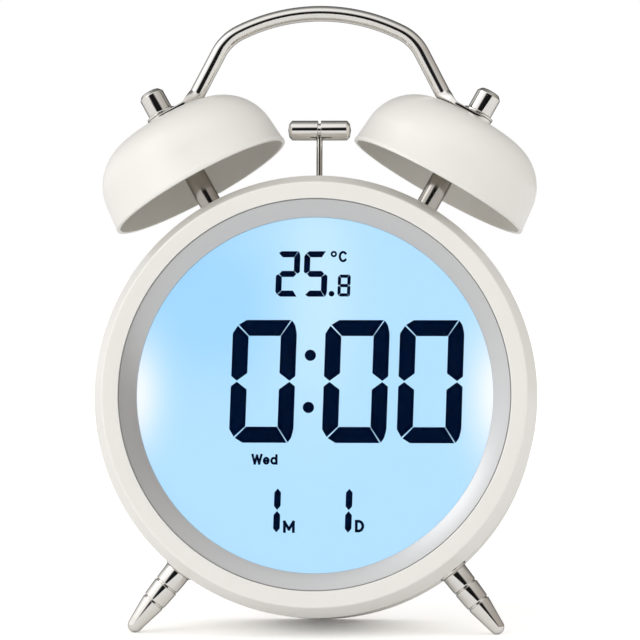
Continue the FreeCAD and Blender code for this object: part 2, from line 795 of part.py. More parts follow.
def four_sides(centre, across, along, width, height):
    """A rectangle whose corners run as those of four_arcs."""
    signs = [(1, 1), (-1, 1), (-1, -1), (1, -1), (1, 1)]
    points = [centre + across * (width / 2 * first) + along * (height / 2 * second)
              for first, second in signs]
    return Part.makePolygon(points)


def make_handle():
    """A bent steel rod whose flattened ends lie on the bells under the cap nuts."""
    line = size("bell_line")
    tab_height = size("tab_thickness")
    tab_width = 2 * size("tab_radius")
    depthwise = Vector(0, 1, 0)
    # right half of the centre line: arch about the clock's middle, shoulder, then a straight leg
    arch = size("handle_arch")
    arch_angle = math.radians(size("handle_arch_angle"))
    arch_centre = Vector(0, line, size("handle_height") - arch)
    toward = Vector(math.sin(arch_angle), 0, math.cos(arch_angle))
    arch_end = arch_centre + toward * arch
    shoulder = size("handle_shoulder")
    shoulder_centre = arch_end - toward * shoulder
    seat = radial(size("bell_angle"), size("bell_apex"), line)
    bend = seat.multVec(Vector(-size("tab_reach"), 0, tab_height / 2))
    to_bend = bend - shoulder_centre
    leg_angle = math.atan2(to_bend.x, to_bend.z) - math.acos(shoulder / to_bend.Length)
    outward = Vector(math.sin(leg_angle), 0, math.cos(leg_angle))
    shoulder_end = shoulder_centre + outward * shoulder
    middle_angle = (leg_angle + arch_angle) / 2
    shoulder_middle = shoulder_centre + Vector(math.sin(middle_angle), 0, math.cos(middle_angle)) * shoulder
    leg_direction = (bend - shoulder_end).normalize()
    blend_start = bend - leg_direction * size("tab_blend")

    def mirrored(point):
        return Vector(-point.x, point.y, point.z)

    apex = arch_centre + Vector(0, 0, arch)
    path = Part.Wire([
        Part.LineSegment(mirrored(blend_start), mirrored(shoulder_end)).toShape(),
        Part.Arc(mirrored(shoulder_end), mirrored(shoulder_middle), mirrored(arch_end)).toShape(),
        Part.Arc(mirrored(arch_end), apex, arch_end).toShape(),
        Part.Arc(arch_end, shoulder_middle, shoulder_end).toShape(),
        Part.LineSegment(shoulder_end, blend_start).toShape(),
    ])
    section = Part.Wire(Part.makeCircle(size("rod_radius"), mirrored(blend_start),
                                        mirrored(leg_direction)))
    rod = path.makePipeShell([section], True, False)

    # the flattened end, as a blend from the round rod into a flat tab with a rounded end
    tab_direction = seat.Rotation.multVec(Vector(1, 0, 0))
    tab_normal = seat.Rotation.multVec(Vector(0, 0, 1))
    bisector = (outward + tab_normal).normalize()
    mitre_height = tab_height / bisector.dot(tab_normal)
    across_leg = depthwise
    blend = Part.makeLoft([
        four_arcs(blend_start, across_leg, outward, size("rod_radius")),
        four_sides(bend, across_leg, bisector, tab_width, mitre_height),
    ], True, True)
    stud_centre = bend + tab_direction * size("tab_reach")
    tab = Part.makeLoft([
        four_sides(bend, across_leg, bisector, tab_width, mitre_height),
        four_sides(stud_centre, across_leg, tab_normal, tab_width, tab_height),
    ], True, True)
    tab_base = stud_centre - tab_normal * (tab_height / 2)
    end = Part.makeCylinder(tab_width / 2, tab_height, tab_base, tab_normal)
    hole = Part.makeCylinder(size("stud_hole"), 3 * tab_height, tab_base - tab_normal * tab_height,
                             tab_normal)
    right_end = blend.fuse([tab, end]).cut(hole)
    left_end = right_end.mirror(Vector(), Vector(1, 0, 0))
    handle = doc.addObject("Part::Feature", "handle")
    handle.Label = "handle"
    handle.Shape = rod.fuse([right_end, left_end]).removeSplitter()
    add_piece(handle)


# ---------------------------------------------------------------- feet
def make_feet():
    """Two turned feet, each on a collar and held by a screw from inside the case."""
    collar = turned("foot_collar", [
        ("stud_hole", "0"), ("collar_radius", "0"),
        ("collar_radius", "collar_height"), ("stud_hole", "collar_height"),
    ])
    foot_screw = screw("foot_screw", "machine_head_radius", "machine_head_height", "stud_radius",
                       "foot_base - foot_screw_seat + machine_screw_depth")
    # the cone meets the tip's sphere where both have the same slope
    slope = "asin((foot_neck - foot_tip_radius) / (foot_length - foot_second_ring - foot_ring_width))"
    ring = "foot_ring_width"
    collars = []
    screws = []
    for side, sign in SIDES.items():
        angle = 180 - sign * size("foot_angle")
        line = size("foot_line")
        foot = turned(side + "_foot", [
            ("stud_hole", "0"),
            ("foot_radius", "0"),
            ("foot_radius - foot_taper / 2", "foot_first_ring"),
            ("foot_radius + foot_ring", f"foot_first_ring + {ring} / 4"),
            ("foot_radius + foot_ring", f"foot_first_ring + {ring} * 3 / 4"),
            ("foot_waist", f"foot_first_ring + {ring}"),
            ("foot_waist - foot_taper / 2", "foot_second_ring"),
            ("foot_waist + foot_ring", f"foot_second_ring + {ring} / 4"),
            ("foot_waist + foot_ring", f"foot_second_ring + {ring} * 3 / 4"),
            ("foot_neck", f"foot_second_ring + {ring}"),
            (f"foot_tip_radius * cos({slope})", f"foot_length + foot_tip_radius * sin({slope})",
             "foot_tip_radius", 1),
            ("0", "foot_length + foot_tip_radius"),
            ("0", "machine_screw_depth + screw_end_gap"),
            ("stud_hole", "machine_screw_depth + screw_end_gap"),
        ])
        add_piece(foot, radial(angle, size("foot_base"), line))
        collars.append((collar, radial(angle, size("case_radius"), line)))
        screws.append((foot_screw, radial(angle, size("foot_screw_seat"), line).multiply(FLIP)))
    group("foot_collars", collars)
    group("foot_screws", screws)


# ---------------------------------------------------------------- hammer and its drive
def make_hammer():
    """The striker: lever, rod and double-ended head, swinging on a shouldered pin."""
    half_width = "lever_width / 2"
    half_gap = "fork_gap / 2"
    outer = f"({half_gap} + fork_arm)"
    lever = new_body("hammer_lever")
    raise_pad(lever, "lever_front", "lever_thickness", [
        (f"-{outer}", "fork_end"), (f"-{half_gap}", "fork_end"), (f"-{half_gap}", "fork_top"),
        (half_gap, "fork_top"), (half_gap, "fork_end"), (outer, "fork_end"),
        (outer, "fork_top + fork_arm"), ("hub_radius", "pivot_height"),
        (half_width, "pivot_height + neck_rise"),
        (half_width, "lever_top"), (f"-{half_width}", "lever_top"),
        (f"-{half_width}", "pivot_height + neck_rise"), ("-hub_radius", "pivot_height"),
        (f"-{outer}", "fork_top + fork_arm"),
    ])
    cut_back(lever, "lever_front - overrun", "lever_thickness + 2 * overrun",
             circles=[("0", "pivot_height", "pivot_radius + running_gap")])
    rod_hole = draw(lever, "XY_Plane", circles=[("0", "bell_line", "hammer_rod_radius")],
                    offset="rod_end")
    feature(lever, "Pocket", rod_hole, False, Length="lever_top", Reversed=True)
    add_piece(lever)

    rod = turned("hammer_rod", [
        ("0", "rod_end"), ("hammer_rod_radius", "rod_end"),
        ("hammer_rod_radius", "head_height"), ("0", "head_height"),
    ])
    add_piece(rod, Placement(Vector(0, size("bell_line"), 0), Rotation()))

    half = "head_length / 2"
    groove = "head_groove / 2"
    head = turned("hammer_head", [
        ("0", f"-{half}"), ("head_radius - head_edge", f"-{half}"),
        ("head_radius", f"-{half} + head_edge"), ("head_radius", f"-{groove}"),
        ("head_radius - head_groove_depth", f"-{groove}"), ("head_radius - head_groove_depth", groove),
        ("head_radius", groove), ("head_radius", f"{half} - head_edge"),
        ("head_radius - head_edge", half), ("0", half),
    ])
    # the hole for the rod leaves the head downwards, which is -X before the head is laid over
    socket = draw(head, "YZ_Plane", circles=[("0", "0", "hammer_rod_radius")])
    feature(head, "Pocket", socket, False, Length="2 * head_radius", Reversed=True)
    lay_over = Rotation(Vector(0, 1, 0), 90)
    add_piece(head, Placement(Vector(0, size("bell_line"), size("head_height")), lay_over))

    head_back = "lever_front - 2 * fit"
    head_front = head_back + " - pin_head_thickness"
    pin = turned("hammer_pivot_pin", [
        ("0", head_front), ("pivot_radius + pin_head_width", head_front),
        ("pivot_radius + pin_head_width", head_back), ("pivot_radius", head_back),
        ("pivot_radius", "lever_back + fit"), ("pivot_radius + pin_shoulder_width", "lever_back + fit"),
        ("pivot_radius + pin_shoulder_width", "bracket_plate_front"),
        ("pivot_radius", "bracket_plate_front"),
        ("pivot_radius", "bracket_plate_back + rivet_length"), ("0", "bracket_plate_back + rivet_length"),
    ], "XY_Plane")
    add_piece(pin, Placement(Vector(0, 0, size("pivot_height")), Rotation()))


def involute(angle):
    """The involute function of a pressure angle in radians."""
    return math.tan(angle) - angle


def gear_outline(teeth, tip_radius, root_radius):
    """The points of a spur gear about the origin, with a tooth centred on +X."""
    pressure = math.radians(size("pressure_angle"))
    module = size("gear_module")
    pitch_radius = module * teeth / 2
    base_radius = pitch_radius * math.cos(pressure)
    half_tooth = (math.pi * module / 2 - size("gear_backlash")) / (2 * pitch_radius)
    steps = 4
    flank = []
    for step in range(steps + 1):
        start = max(base_radius, root_radius)
        radius = start + (tip_radius - start) * step / steps
        local = math.acos(min(1, base_radius / radius))
        flank.append((radius, half_tooth + involute(pressure) - involute(local)))
    if root_radius < base_radius:
        flank.insert(0, (root_radius, flank[0][1]))
    points = []
    for tooth in range(int(teeth)):
        middle = 2 * math.pi * tooth / teeth
        for radius, half in flank:
            points.append((radius, middle - half))
        for radius, half in reversed(flank):
            points.append((radius, middle + half))
    return [Vector(radius * math.cos(angle), 0, radius * math.sin(angle)) for radius, angle in points]


def gear_blank(name, teeth, tip_radius, root_radius, bore):
    """A spur gear from gear_front to gear_back about the Y axis, with a round bore."""
    outline = gear_outline(teeth, tip_radius, root_radius)
    face = Part.Face(Part.makePolygon(outline + outline[:1]))
    depth = Vector(0, size("gear_thickness"), 0)
    solid = face.extrude(depth)
    solid.translate(Vector(0, size("gear_front"), 0))
    hole = Part.makeCylinder(bore, 3 * depth.y, Vector(0, size("gear_front") - depth.y, 0), Vector(0, 1, 0))
    gear = doc.addObject("Part::Feature", name)
    gear.Label = name
    gear.Shape = solid.cut(hole)
    return gear


def make_drive():
    """The bracket under the case's top with the motor and the gears that swing the hammer."""
    bracket = new_body("hammer_bracket")
    span = "bracket_span"
    raise_pad(bracket, "bracket_front", "bracket_width", [
        (f"bracket_outside * sin({span})", f"bracket_outside * cos({span})", "bracket_outside", 1),
        (f"-bracket_outside * sin({span})", f"bracket_outside * cos({span})"),
        (f"-bracket_inside * sin({span})", f"bracket_inside * cos({span})", "bracket_inside", -1),
        (f"bracket_inside * sin({span})", f"bracket_inside * cos({span})"),
    ])
    half = "bracket_plate_width / 2"
    shoulder = f"sqrt(bracket_middle ^ 2 - ({half}) ^ 2)"
    raise_pad(bracket, "bracket_plate_front", "bracket_wall", [
        (f"-{half}", "bracket_plate_end"), (half, "bracket_plate_end"),
        (half, shoulder, "bracket_middle", 1), (f"-{half}", shoulder),
    ])
    cut_back(bracket, "bracket_plate_front - overrun", "bracket_wall + 2 * overrun", circles=[
        ("0", "pinion_height", "motor_boss_radius + fit"),
        ("motor_screw_pitch / 2", "pinion_height", "tiny_screw_radius + fit / 2"),
        ("-motor_screw_pitch / 2", "pinion_height", "tiny_screw_radius + fit / 2"),
        ("0", "crank_height", "gear_shaft_radius"),
        ("0", "pivot_height", "pivot_radius"),
    ])
    for sign in SIDES.values():
        cut_radial(bracket, f"{sign} * bell_angle", circles=[("0", "bell_line", "stud_hole")])
    half_width = "hammer_slot_width / 2"
    half_depth = "hammer_slot_depth / 2"
    slot = draw(bracket, "XY_Plane", rectangle(f"-{half_width}", half_width, f"bell_line - {half_depth}",
                                               f"bell_line + {half_depth}"))
    feature(bracket, "Pocket", slot, False, Length="2 * bezel_radius", Reversed=True)
    add_piece(bracket)

    motor = new_body("hammer_motor")
    half_motor = "motor_width / 2"
    half_high = "motor_height / 2"
    corner = "motor_round"
    low, high = f"pinion_height - {half_high}", f"pinion_height + {half_high}"
    raise_pad(motor, "bracket_plate_back", "motor_length", [
        (f"-{half_motor} + {corner}", low), (f"{half_motor} - {corner}", low, corner, 1),
        (half_motor, f"{low} + {corner}"), (half_motor, f"{high} - {corner}", corner, 1),
        (f"{half_motor} - {corner}", high), (f"-{half_motor} + {corner}", high, corner, 1),
        (f"-{half_motor}", f"{high} - {corner}"), (f"-{half_motor}", f"{low} + {corner}", corner, 1),
    ])
    raise_pad(motor, "bracket_plate_front + fit", "bracket_wall + overrun",
              circles=[("0", "pinion_height", "motor_boss_radius")])
    cut_back(motor, "bracket_plate_front - overrun", "bracket_wall + motor_shaft_depth + overrun",
             circles=[("0", "pinion_height", "motor_shaft_radius + running_gap")])
    cut_back(motor, "bracket_plate_front - overrun", "bracket_wall + tiny_screw_depth", circles=[
        (f"{sign} * motor_screw_pitch / 2", "pinion_height", "tiny_screw_radius + fit / 2")
        for sign in SIDES.values()
    ])
    add_piece(motor)
    tiny = screw("tiny_screw", "tiny_head_radius", "tiny_head_height", "tiny_screw_radius",
                 "tiny_screw_depth")
    group("motor_screws", [
        (tiny, facing_back(sign * size("motor_screw_pitch / 2"), size("bracket_plate_front"),
                           size("pinion_height")).multiply(FLIP))
        for sign in SIDES.values()
    ])

    at_pinion = Placement(Vector(0, 0, size("pinion_height")), Rotation())
    shaft_end = "bracket_plate_back + motor_shaft_depth - motor_shaft_gap"
    add_piece(turned("motor_shaft", [
        ("0", "gear_front"), ("motor_shaft_radius", "gear_front"), ("motor_shaft_radius", shaft_end),
        ("0", shaft_end),
    ], "XY_Plane"), at_pinion)
    module = size("gear_module")
    pinion_radius = size("gear_module * pinion_teeth / 2")
    crank_radius = size("gear_module * crank_teeth / 2")
    add_piece(gear_blank("motor_pinion", size("pinion_teeth"),
                         pinion_radius + size("pinion_addendum") * module,
                         pinion_radius - size("pinion_dedendum") * module,
                         size("motor_shaft_radius")), at_pinion)

    at_crank = Placement(Vector(0, 0, size("crank_height")), Rotation())
    bore_radius = size("gear_shaft_radius + running_gap")
    gear = gear_blank("crank_gear", size("crank_teeth"),
                      crank_radius + size("crank_addendum") * module,
                      crank_radius - size("crank_dedendum") * module, bore_radius)
    pin_front = size("lever_front")
    pin = Part.makeCylinder(size("crank_pin_radius"), size("gear_front") - pin_front,
                            Vector(size("crank_throw"), pin_front, 0), Vector(0, 1, 0))
    # a thin web closes the front of the bore, and a raised hub at the back keeps the gear off the bracket
    hub_radius = size("gear_shaft_radius + gear_hub_wall")
    hub = Part.makeCylinder(hub_radius, size("hub_height"), Vector(0, size("gear_back"), 0), Vector(0, 1, 0))
    web = Part.makeCylinder(hub_radius, size("gear_web"), Vector(0, size("gear_front"), 0), Vector(0, 1, 0))
    bore = Part.makeCylinder(bore_radius, size("gear_thickness"),
                             Vector(0, size("gear_front + gear_web"), 0), Vector(0, 1, 0))
    gear.Shape = gear.Shape.fuse([pin, hub, web]).cut(bore).removeSplitter()
    add_piece(gear, at_crank)
    shaft_front = "gear_front + gear_web + fit"
    shaft_back = "bracket_plate_back + rivet_length"
    add_piece(turned("gear_shaft", [
        ("0", shaft_front), ("gear_shaft_radius", shaft_front),
        ("gear_shaft_radius", shaft_back), ("0", shaft_back),
    ], "XY_Plane"), at_crank)


# ---------------------------------------------------------------- rear cover, cells and door
def make_rear():
    """The rear cover with the battery bay, the cells with their contacts, and the hinged door."""
    cover = new_body("rear_cover")
    raise_pad(cover, "cover_front", "cover_thickness", circles=[("0", "0", "cover_radius")])
    half_bay = "bay_width / 2"
    raise_pad(cover, "bay_floor - bay_wall / 2", "cover_back - bay_floor + bay_wall / 2 - fit",
              rectangle(f"-{half_bay} - bay_wall", f"{half_bay} + bay_wall", "bay_bottom - bay_wall",
                        "bay_top + bay_wall"))
    cut_back(cover, "bay_floor", "bay_depth + overrun", rectangle(f"-{half_bay}", half_bay, "bay_bottom", "bay_top"))
    lip = "door_lip"
    cut_back(cover, "door_front - play", "door_thickness + overrun",
             rectangle(f"-{half_bay} - {lip}", f"{half_bay} + {lip}", f"bay_bottom - {lip}", f"bay_top + {lip}"))
    pin_hole = draw(cover, "YZ_Plane", circles=[
        ("door_axis_line", "door_axis_height", "door_pin_radius + running_gap")],
        offset="-(door_half_width + play + door_pin_length)")
    feature(cover, "Pocket", pin_hole, False, Length="2 * (door_half_width + play + door_pin_length)",
            Reversed=True)
    key_spots = [(f"{step} * key_pitch", "key_radius" if step else "light_key_radius")
                 for step in (-2, -1, 0, 1, 2)]
    cut_back(cover, "cover_front - overrun", "cover_thickness + 2 * overrun",
             circles=[(f"{across} + {shift_of(across)}", "key_line", f"{radius} + play")
                      for across, radius in key_spots])
    half_slot = "(slider_width + slider_travel) / 2 + play"
    cut_back(cover, "cover_front - overrun", "cover_thickness + 2 * overrun",
             rectangle(f"-({half_slot})", half_slot, "switch_line - slider_height / 2 - play",
                       "switch_line + slider_height / 2 + play"))
    half_pitch = "key_screw_pitch / 2"
    bosses = [(f"{sign} * {half_pitch}", "key_screw_line") for sign in SIDES.values()]
    raise_pad(cover, "key_board_back", "cover_front - key_board_back",
              circles=[(across, up, "boss_radius") for across, up in bosses])
    cut_back(cover, "key_board_back - overrun",
             "small_screw_depth - key_board_thickness + overrun + screw_end_gap",
             circles=[(across, up, "small_screw_radius + fit / 2") for across, up in bosses])
    for angle in QUARTERS:
        cut_back(cover, "cover_front - overrun", "cover_thickness + 2 * overrun",
                 circles=[(f"cover_screw_circle * cos({angle})", f"cover_screw_circle * sin({angle})",
                           "small_screw_radius + fit / 2")])
    add_piece(cover)

    cell = turned("cell", [
        ("0", "-cell_length / 2"), ("cell_radius - cell_edge", "-cell_length / 2"),
        ("cell_radius", "-cell_length / 2 + cell_edge"),
        ("cell_radius", "cell_length / 2 - cell_nub_length - cell_edge"),
        ("cell_radius - cell_edge", "cell_length / 2 - cell_nub_length"),
        ("cell_nub_radius", "cell_length / 2 - cell_nub_length"), ("cell_nub_radius", "cell_length / 2"),
        ("0", "cell_length / 2"),
    ])
    # springs of flat wire coil between each cell's flat end and its contact plate
    gap = size("bay_width / 2 - contact_thickness - cell_length / 2")
    spring = doc.addObject("Part::Feature", "spring")
    wire = size("spring_wire")
    rise = gap - wire
    coil = Part.makeHelix(rise / size("spring_turns"), rise, size("spring_radius"))
    corners = [(-1, -1), (1, -1), (1, 1), (-1, 1), (-1, -1)]
    section = Part.makePolygon([
        Vector(size("spring_radius") + across * wire / 2, 0, along * wire / 2) for across, along in corners
    ])
    spring.Shape = Part.Wire(coil.Edges).makePipeShell([section], True, True)
    plate = block("plate", "-bay_width / 2", "-bay_width / 2 + contact_thickness",
                  "cell_line - contact_width / 2", "contact_width",
                  "-contact_width / 2", "contact_width / 2")
    cells = []
    plates = []
    springs = []
    for row in (-1, 1):
        height = size("cell_centre") + row * size("cell_pitch / 2")
        along = Rotation(Vector(0, 1, 0), row * 90)
        shift = row * (gap - size("fit")) / 2
        cells.append((cell, Placement(Vector(shift, size("cell_line"), height), along)))
        spring_seat = Vector(-row * size("bay_width / 2 - contact_thickness - spring_wire / 2"),
                             size("cell_line"), height)
        springs.append((spring, Placement(spring_seat, along)))
        for end in (-1, 1):
            turn = Rotation(Vector(0, 0, 1), 0 if end < 0 else 180)
            centre = Vector(0, 2 * size("cell_line") if end > 0 else 0, height)
            plates.append((plate, Placement(centre, turn)))
    group("battery_cells", cells)
    group("contact_springs", springs)
    group("contact_plates", plates)

    door = new_body("battery_door")
    round_edge = "door_thickness / 2"
    # the lower edge is rounded about the hinge, so that it clears the cover as it swings
    profile = draw(door, "YZ_Plane", [
        ("door_front", "door_axis_height"), ("door_front", "door_top"), ("cover_back", "door_top"),
        ("cover_back", "door_axis_height", round_edge, -1),
        ("door_axis_line", "door_bottom", round_edge, -1),
    ], offset="-door_half_width")
    feature(door, "Pad", profile, True, Length="2 * door_half_width")
    pins = draw(door, "YZ_Plane", circles=[("door_axis_line", "door_axis_height", "door_pin_radius")],
                offset="-(door_half_width + door_pin_length)")
    feature(door, "Pad", pins, True, Length="2 * (door_half_width + door_pin_length)")
    cut_back(door, "cover_back - grip_depth", "grip_depth + overrun",
             rectangle("-grip_width / 2", "grip_width / 2", "door_top - grip_inset - grip_height",
                       "door_top - grip_inset"))
    add_piece(door)


def shift_of(across):
    """The outer keys stand further out by the light key's extra radius."""
    if across.startswith("-2") or across.startswith("-1"):
        return "(key_radius - light_key_radius) / 2"
    return "0" if across.startswith("0") else "(light_key_radius - key_radius) / 2"


KEYS = {"mode_key": -2, "set_key": -1, "light_key": 0, "up_key": 1, "down_key": 2}


def make_keys(small):
    """The key board with its switches, the push keys and the alarm slider."""
    half_board = "key_board_width / 2"
    half_pitch = "key_screw_pitch / 2"
    board = block("key_board", f"-{half_board}", half_board, "key_board_front", "key_board_thickness",
                  "key_board_base", "key_board_base + key_board_height")
    cut_back(board, "key_board_front - overrun", "key_board_thickness + 2 * overrun",
             circles=[(f"{sign} * {half_pitch}", "key_screw_line", "small_screw_radius + fit")
                      for sign in SIDES.values()])
    add_piece(board)
    group("key_board_screws", [
        (small, facing_back(sign * size(half_pitch), size("key_board_front"),
                            size("key_screw_line")).multiply(FLIP))
        for sign in SIDES.values()
    ])
    tact = block("tact", "-tact_width / 2", "tact_width / 2", "key_board_back", "tact_height",
                 "key_line - tact_width / 2", "key_line + tact_width / 2")
    tacts = []
    for name, step in KEYS.items():
        across = f"{step} * key_pitch + {shift_of(str(step))}"
        radius = "key_radius" if step else "light_key_radius"
        key = turned(name, [
            ("0", "key_flange_front"), (f"{radius} + key_flange", "key_flange_front"),
            (f"{radius} + key_flange", "cover_front - fit"), (radius, "cover_front - fit"),
            (radius, "key_back - key_edge", "key_edge", 1), (f"{radius} - key_edge", "key_back"),
            ("0", "key_back"),
        ], "XY_Plane")
        add_piece(key, Placement(Vector(size(across), 0, size("key_line")), Rotation()))
        tacts.append((tact, Placement(Vector(size(across), 0, 0), Rotation())))
    group("tact_switches", tacts)
    add_piece(block("slide_switch", "-switch_width / 2", "switch_width / 2", "key_board_back",
                    "tact_height", "switch_line - switch_height / 2 + switch_rise",
                    "switch_line + switch_height / 2 + switch_rise"))
    left = "-(slider_width + slider_travel) / 2"
    add_piece(block("alarm_slider", left, f"{left} + slider_width", "tact_back + fit",
                    "key_back - tact_back - fit", "switch_line - slider_height / 2",
                    "switch_line + slider_height / 2"))


make_case()
make_display()
SMALL_SCREW = make_main_board()
make_bells()
make_handle()
make_feet()
make_hammer()
make_drive()
make_rear()
make_keys(SMALL_SCREW)
doc.recompute()

# ---------------------------------------------------------------- stand the clock on the floor
LEAN = Placement(Vector(0, 0, size("lift")), Rotation(Vector(1, 0, 0), -size("lean_angle")))


def depth_range(placement):
    """The nearest and farthest y of all pieces in a placement of the upright clock."""
    lows, highs = [], []
    for item, local in PIECES.values():
        shape = item.Shape.copy()
        shape.Placement = placement.multiply(local)
        box = shape.optimalBoundingBox(False)
        lows.append(box.YMin)
        highs.append(box.YMax)
    return min(lows), max(highs)


front, back = depth_range(LEAN)
STAND = Placement(Vector(0, -(front + back) / 2, 0), Rotation()).multiply(LEAN)
for item, local in PIECES.values():
    item.Placement = STAND.multiply(local)
doc.recompute()

# ---------------------------------------------------------------- check and write the pieces
for item in doc.Objects:
    if "Invalid" in item.State or "Error" in item.State:
        raise RuntimeError(f"{item.Label} failed: {item.State}")
os.makedirs("parts", exist_ok=True)
for name, (item, local) in PIECES.items():
    if item.Shape.isNull() or not item.Shape.isValid():
        raise RuntimeError(f"{name} has no valid shape")
    item.Shape.exportStep(f"parts/{name}.step")
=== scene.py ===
"""Dresses the twin-bell alarm clock: a round case with a lit digital display, two bells, a carrying
handle, a motor-driven hammer and two turned feet."""
import json
import math

import bmesh
import bpy
from bpy.props import FloatProperty, FloatVectorProperty, IntProperty, PointerProperty
from mathutils import Matrix, Vector


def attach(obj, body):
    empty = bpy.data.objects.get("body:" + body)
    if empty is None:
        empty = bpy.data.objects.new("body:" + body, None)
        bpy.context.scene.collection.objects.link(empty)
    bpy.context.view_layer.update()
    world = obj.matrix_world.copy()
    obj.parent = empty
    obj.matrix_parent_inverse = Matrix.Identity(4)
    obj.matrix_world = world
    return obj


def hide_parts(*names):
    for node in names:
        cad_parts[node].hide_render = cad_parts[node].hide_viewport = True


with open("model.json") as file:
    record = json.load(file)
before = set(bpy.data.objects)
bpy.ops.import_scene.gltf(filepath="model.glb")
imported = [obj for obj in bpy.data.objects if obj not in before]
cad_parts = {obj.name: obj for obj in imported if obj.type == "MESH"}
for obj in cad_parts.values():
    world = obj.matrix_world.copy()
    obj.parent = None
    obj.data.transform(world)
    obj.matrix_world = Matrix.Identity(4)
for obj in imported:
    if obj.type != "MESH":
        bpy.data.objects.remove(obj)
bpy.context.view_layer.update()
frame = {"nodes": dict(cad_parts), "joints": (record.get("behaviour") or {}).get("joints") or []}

bl_info = {
    "name": "Twin-bell alarm clock",
    "version": (1, 0, 0),
    "blender": (4, 5, 0),
    "location": "3D View > Sidebar > Clock",
    "description": "Builds a twin-bell alarm clock with a digital display on its packed model",
    "category": "Object",
}

MM = 0.001
SIDES = {"left": -1, "right": 1}


# ---------------------------------------------------------------- sizes and colours
def length(name, description, millimetres):
    """A length property, kept in metres."""
    return FloatProperty(name=name, description=description, default=millimetres * MM, precision=5,
                         unit="LENGTH")


def rotation(name, description, degrees):
    """An angle property, kept in radians."""
    return FloatProperty(name=name, description=description, default=math.radians(degrees), unit="ROTATION")


def amount(name, description, default):
    """A plain number property."""
    return FloatProperty(name=name, description=description, default=default)


def colour(name, description, rgb):
    """A colour property."""
    return FloatVectorProperty(name=name, description=description, subtype="COLOR", size=3, min=0, max=1,
                               default=rgb)


class ClockSizes(bpy.types.PropertyGroup):
    """The sizes that the visible pieces follow."""
    case_radius: length("Case radius", "Outside of the round drum", 58.3)
    case_depth: length("Case depth", "Front of the bezel to the rear rim", 49.0)
    case_inside: length("Case inside radius", "Inside of the drum", 57.5)
    bezel_radius: length("Bezel radius", "Outside of the front bezel", 58.9)
    bezel_depth: length("Bezel depth", "Width of the bezel on the drum's flank", 8.0)
    bezel_bore: length("Bezel bore", "Opening of the bezel", 51.9)
    bezel_face: length("Bezel face", "Outer edge of the bezel's flat face, where its shoulder starts", 56.3)
    window_radius: length("Window radius", "Inner edge of the grey cone", 47.2)
    bell_radius: length("Bell radius", "Radius at the bell's rim", 25.9)
    bell_wall: length("Bell wall", "Sheet thickness of the bells", 1.0)
    bell_rim: length("Bell rim reach", "Distance from the case's axis to the bells' rims", 66.222)
    bell_apex: length("Bell top reach", "Distance from the case's axis to the bells' tops", 87.556)
    bell_line: length("Bell plane", "Depth of the plane of the bells, hammer and handle", 23.0)
    bell_angle: rotation("Bell angle", "Each bell's angle from upright", 29.0)
    post_radius: length("Post radius", "Radius of the posts under the bells", 2.95)
    cap_radius: length("Cap nut radius", "Radius of the cap nuts", 3.45)
    rod_radius: length("Handle rod radius", "Radius of the bent handle rod", 2.12)
    handle_height: length("Handle height", "Top of the handle's centre line above the case's axis", 105.65)
    foot_angle: rotation("Foot angle", "Each foot's angle from straight down", 38.4)
    foot_line: length("Foot line", "Depth of the feet behind the front", 16.2)
    foot_tip_radius: length("Foot tip", "Radius of each foot's round tip", 2.0)
    collar_height: length("Collar height", "Height of the collars over the feet", 1.1)
    head_height: length("Hammer head height", "Middle of the hammer head above the case's axis", 73.4)
    head_length: length("Hammer head length", "Length of the double-ended hammer head", 17.1)
    head_radius: length("Hammer head radius", "Radius of the hammer head", 2.7)
    screw_circle: length("Screw circle", "Radius of the circle of the cover screws", 55.6)
    cover_line: length("Rear cover", "Depth of the rear cover's outside", 46.8)
    turning_steps: IntProperty(name="Turning steps", description="Faces round a turned piece", default=160,
                               min=24, max=256)


class ClockColours(bpy.types.PropertyGroup):
    """The colours of the visible pieces."""
    shell: colour("Shell", "Enamel of the case, bezel and bells", (0.84, 0.82, 0.775))
    cone: colour("Cone", "Satin ring round the display", (0.675, 0.68, 0.685))
    display: colour("Display", "Lit ground of the display", (0.44, 0.735, 0.985))
    display_pale: colour("Display middle", "Paler column up the middle of the display", (0.54, 0.80, 1.0))
    display_deep: colour("Display shade", "Bluest part of the display, upper left", (0.345, 0.67, 0.97))
    display_glow: colour("Display glow", "Lit ground next to the side lamps", (0.93, 0.97, 1.0))
    digits: colour("Digits", "Dark segments of the display", (0.0, 0.003, 0.02))
    chrome: colour("Chrome", "Plated nuts, feet and hammer", (0.90, 0.875, 0.835))
    # the posts' tint is the chrome darkened: painted shade for the shade under the bells
    posts: colour("Posts", "Darker plating of the posts under the bells", (0.50, 0.47, 0.43))
    steel: colour("Steel", "Handle rod", (0.88, 0.86, 0.82))
    cover: colour("Rear cover", "Moulded rear cover and battery door", (0.80, 0.785, 0.745))
    keys: colour("Keys", "Rear keys and slider", (0.45, 0.455, 0.465))


class ClockStage(bpy.types.PropertyGroup):
    """The camera and the lights."""
    lens: amount("Lens", "Focal length in millimetres on a 36 mm sensor", 188.0)
    distance: length("Distance", "Camera to the display's middle", 879.4)
    height: length("Height", "Camera above the floor", 108.7)
    tilt: rotation("Tilt", "How far the camera looks down", 1.625)
    side_step: length("Side step", "The clock's middle right of the picture's middle", -1.6)
    turn: rotation("Turn", "How far the camera stands to the clock's right", 2.7)
    key_strength: amount("Key light", "Strength of the light from the left", 1.8)
    fill_strength: amount("Fill light", "Strength of the light from the right", 0.9)
    sky: amount("Sky", "Strength of the plain surrounding light", 0.68)
    soft_box: amount("Soft box", "How much brighter the soft box looks in polished pieces", 1.0)
    floor_white: amount("Floor white", "How white the floor is", 0.93)
    floor_extra: amount("Floor extra white", "Added white that the camera sees where light falls", 0.52)
    floor_mirror: amount("Floor in mirrors", "What polished pieces see added to the floor", 0.05)
    floor_lift: amount("Floor lift", "Light that the camera sees added to the floor", 0.02)


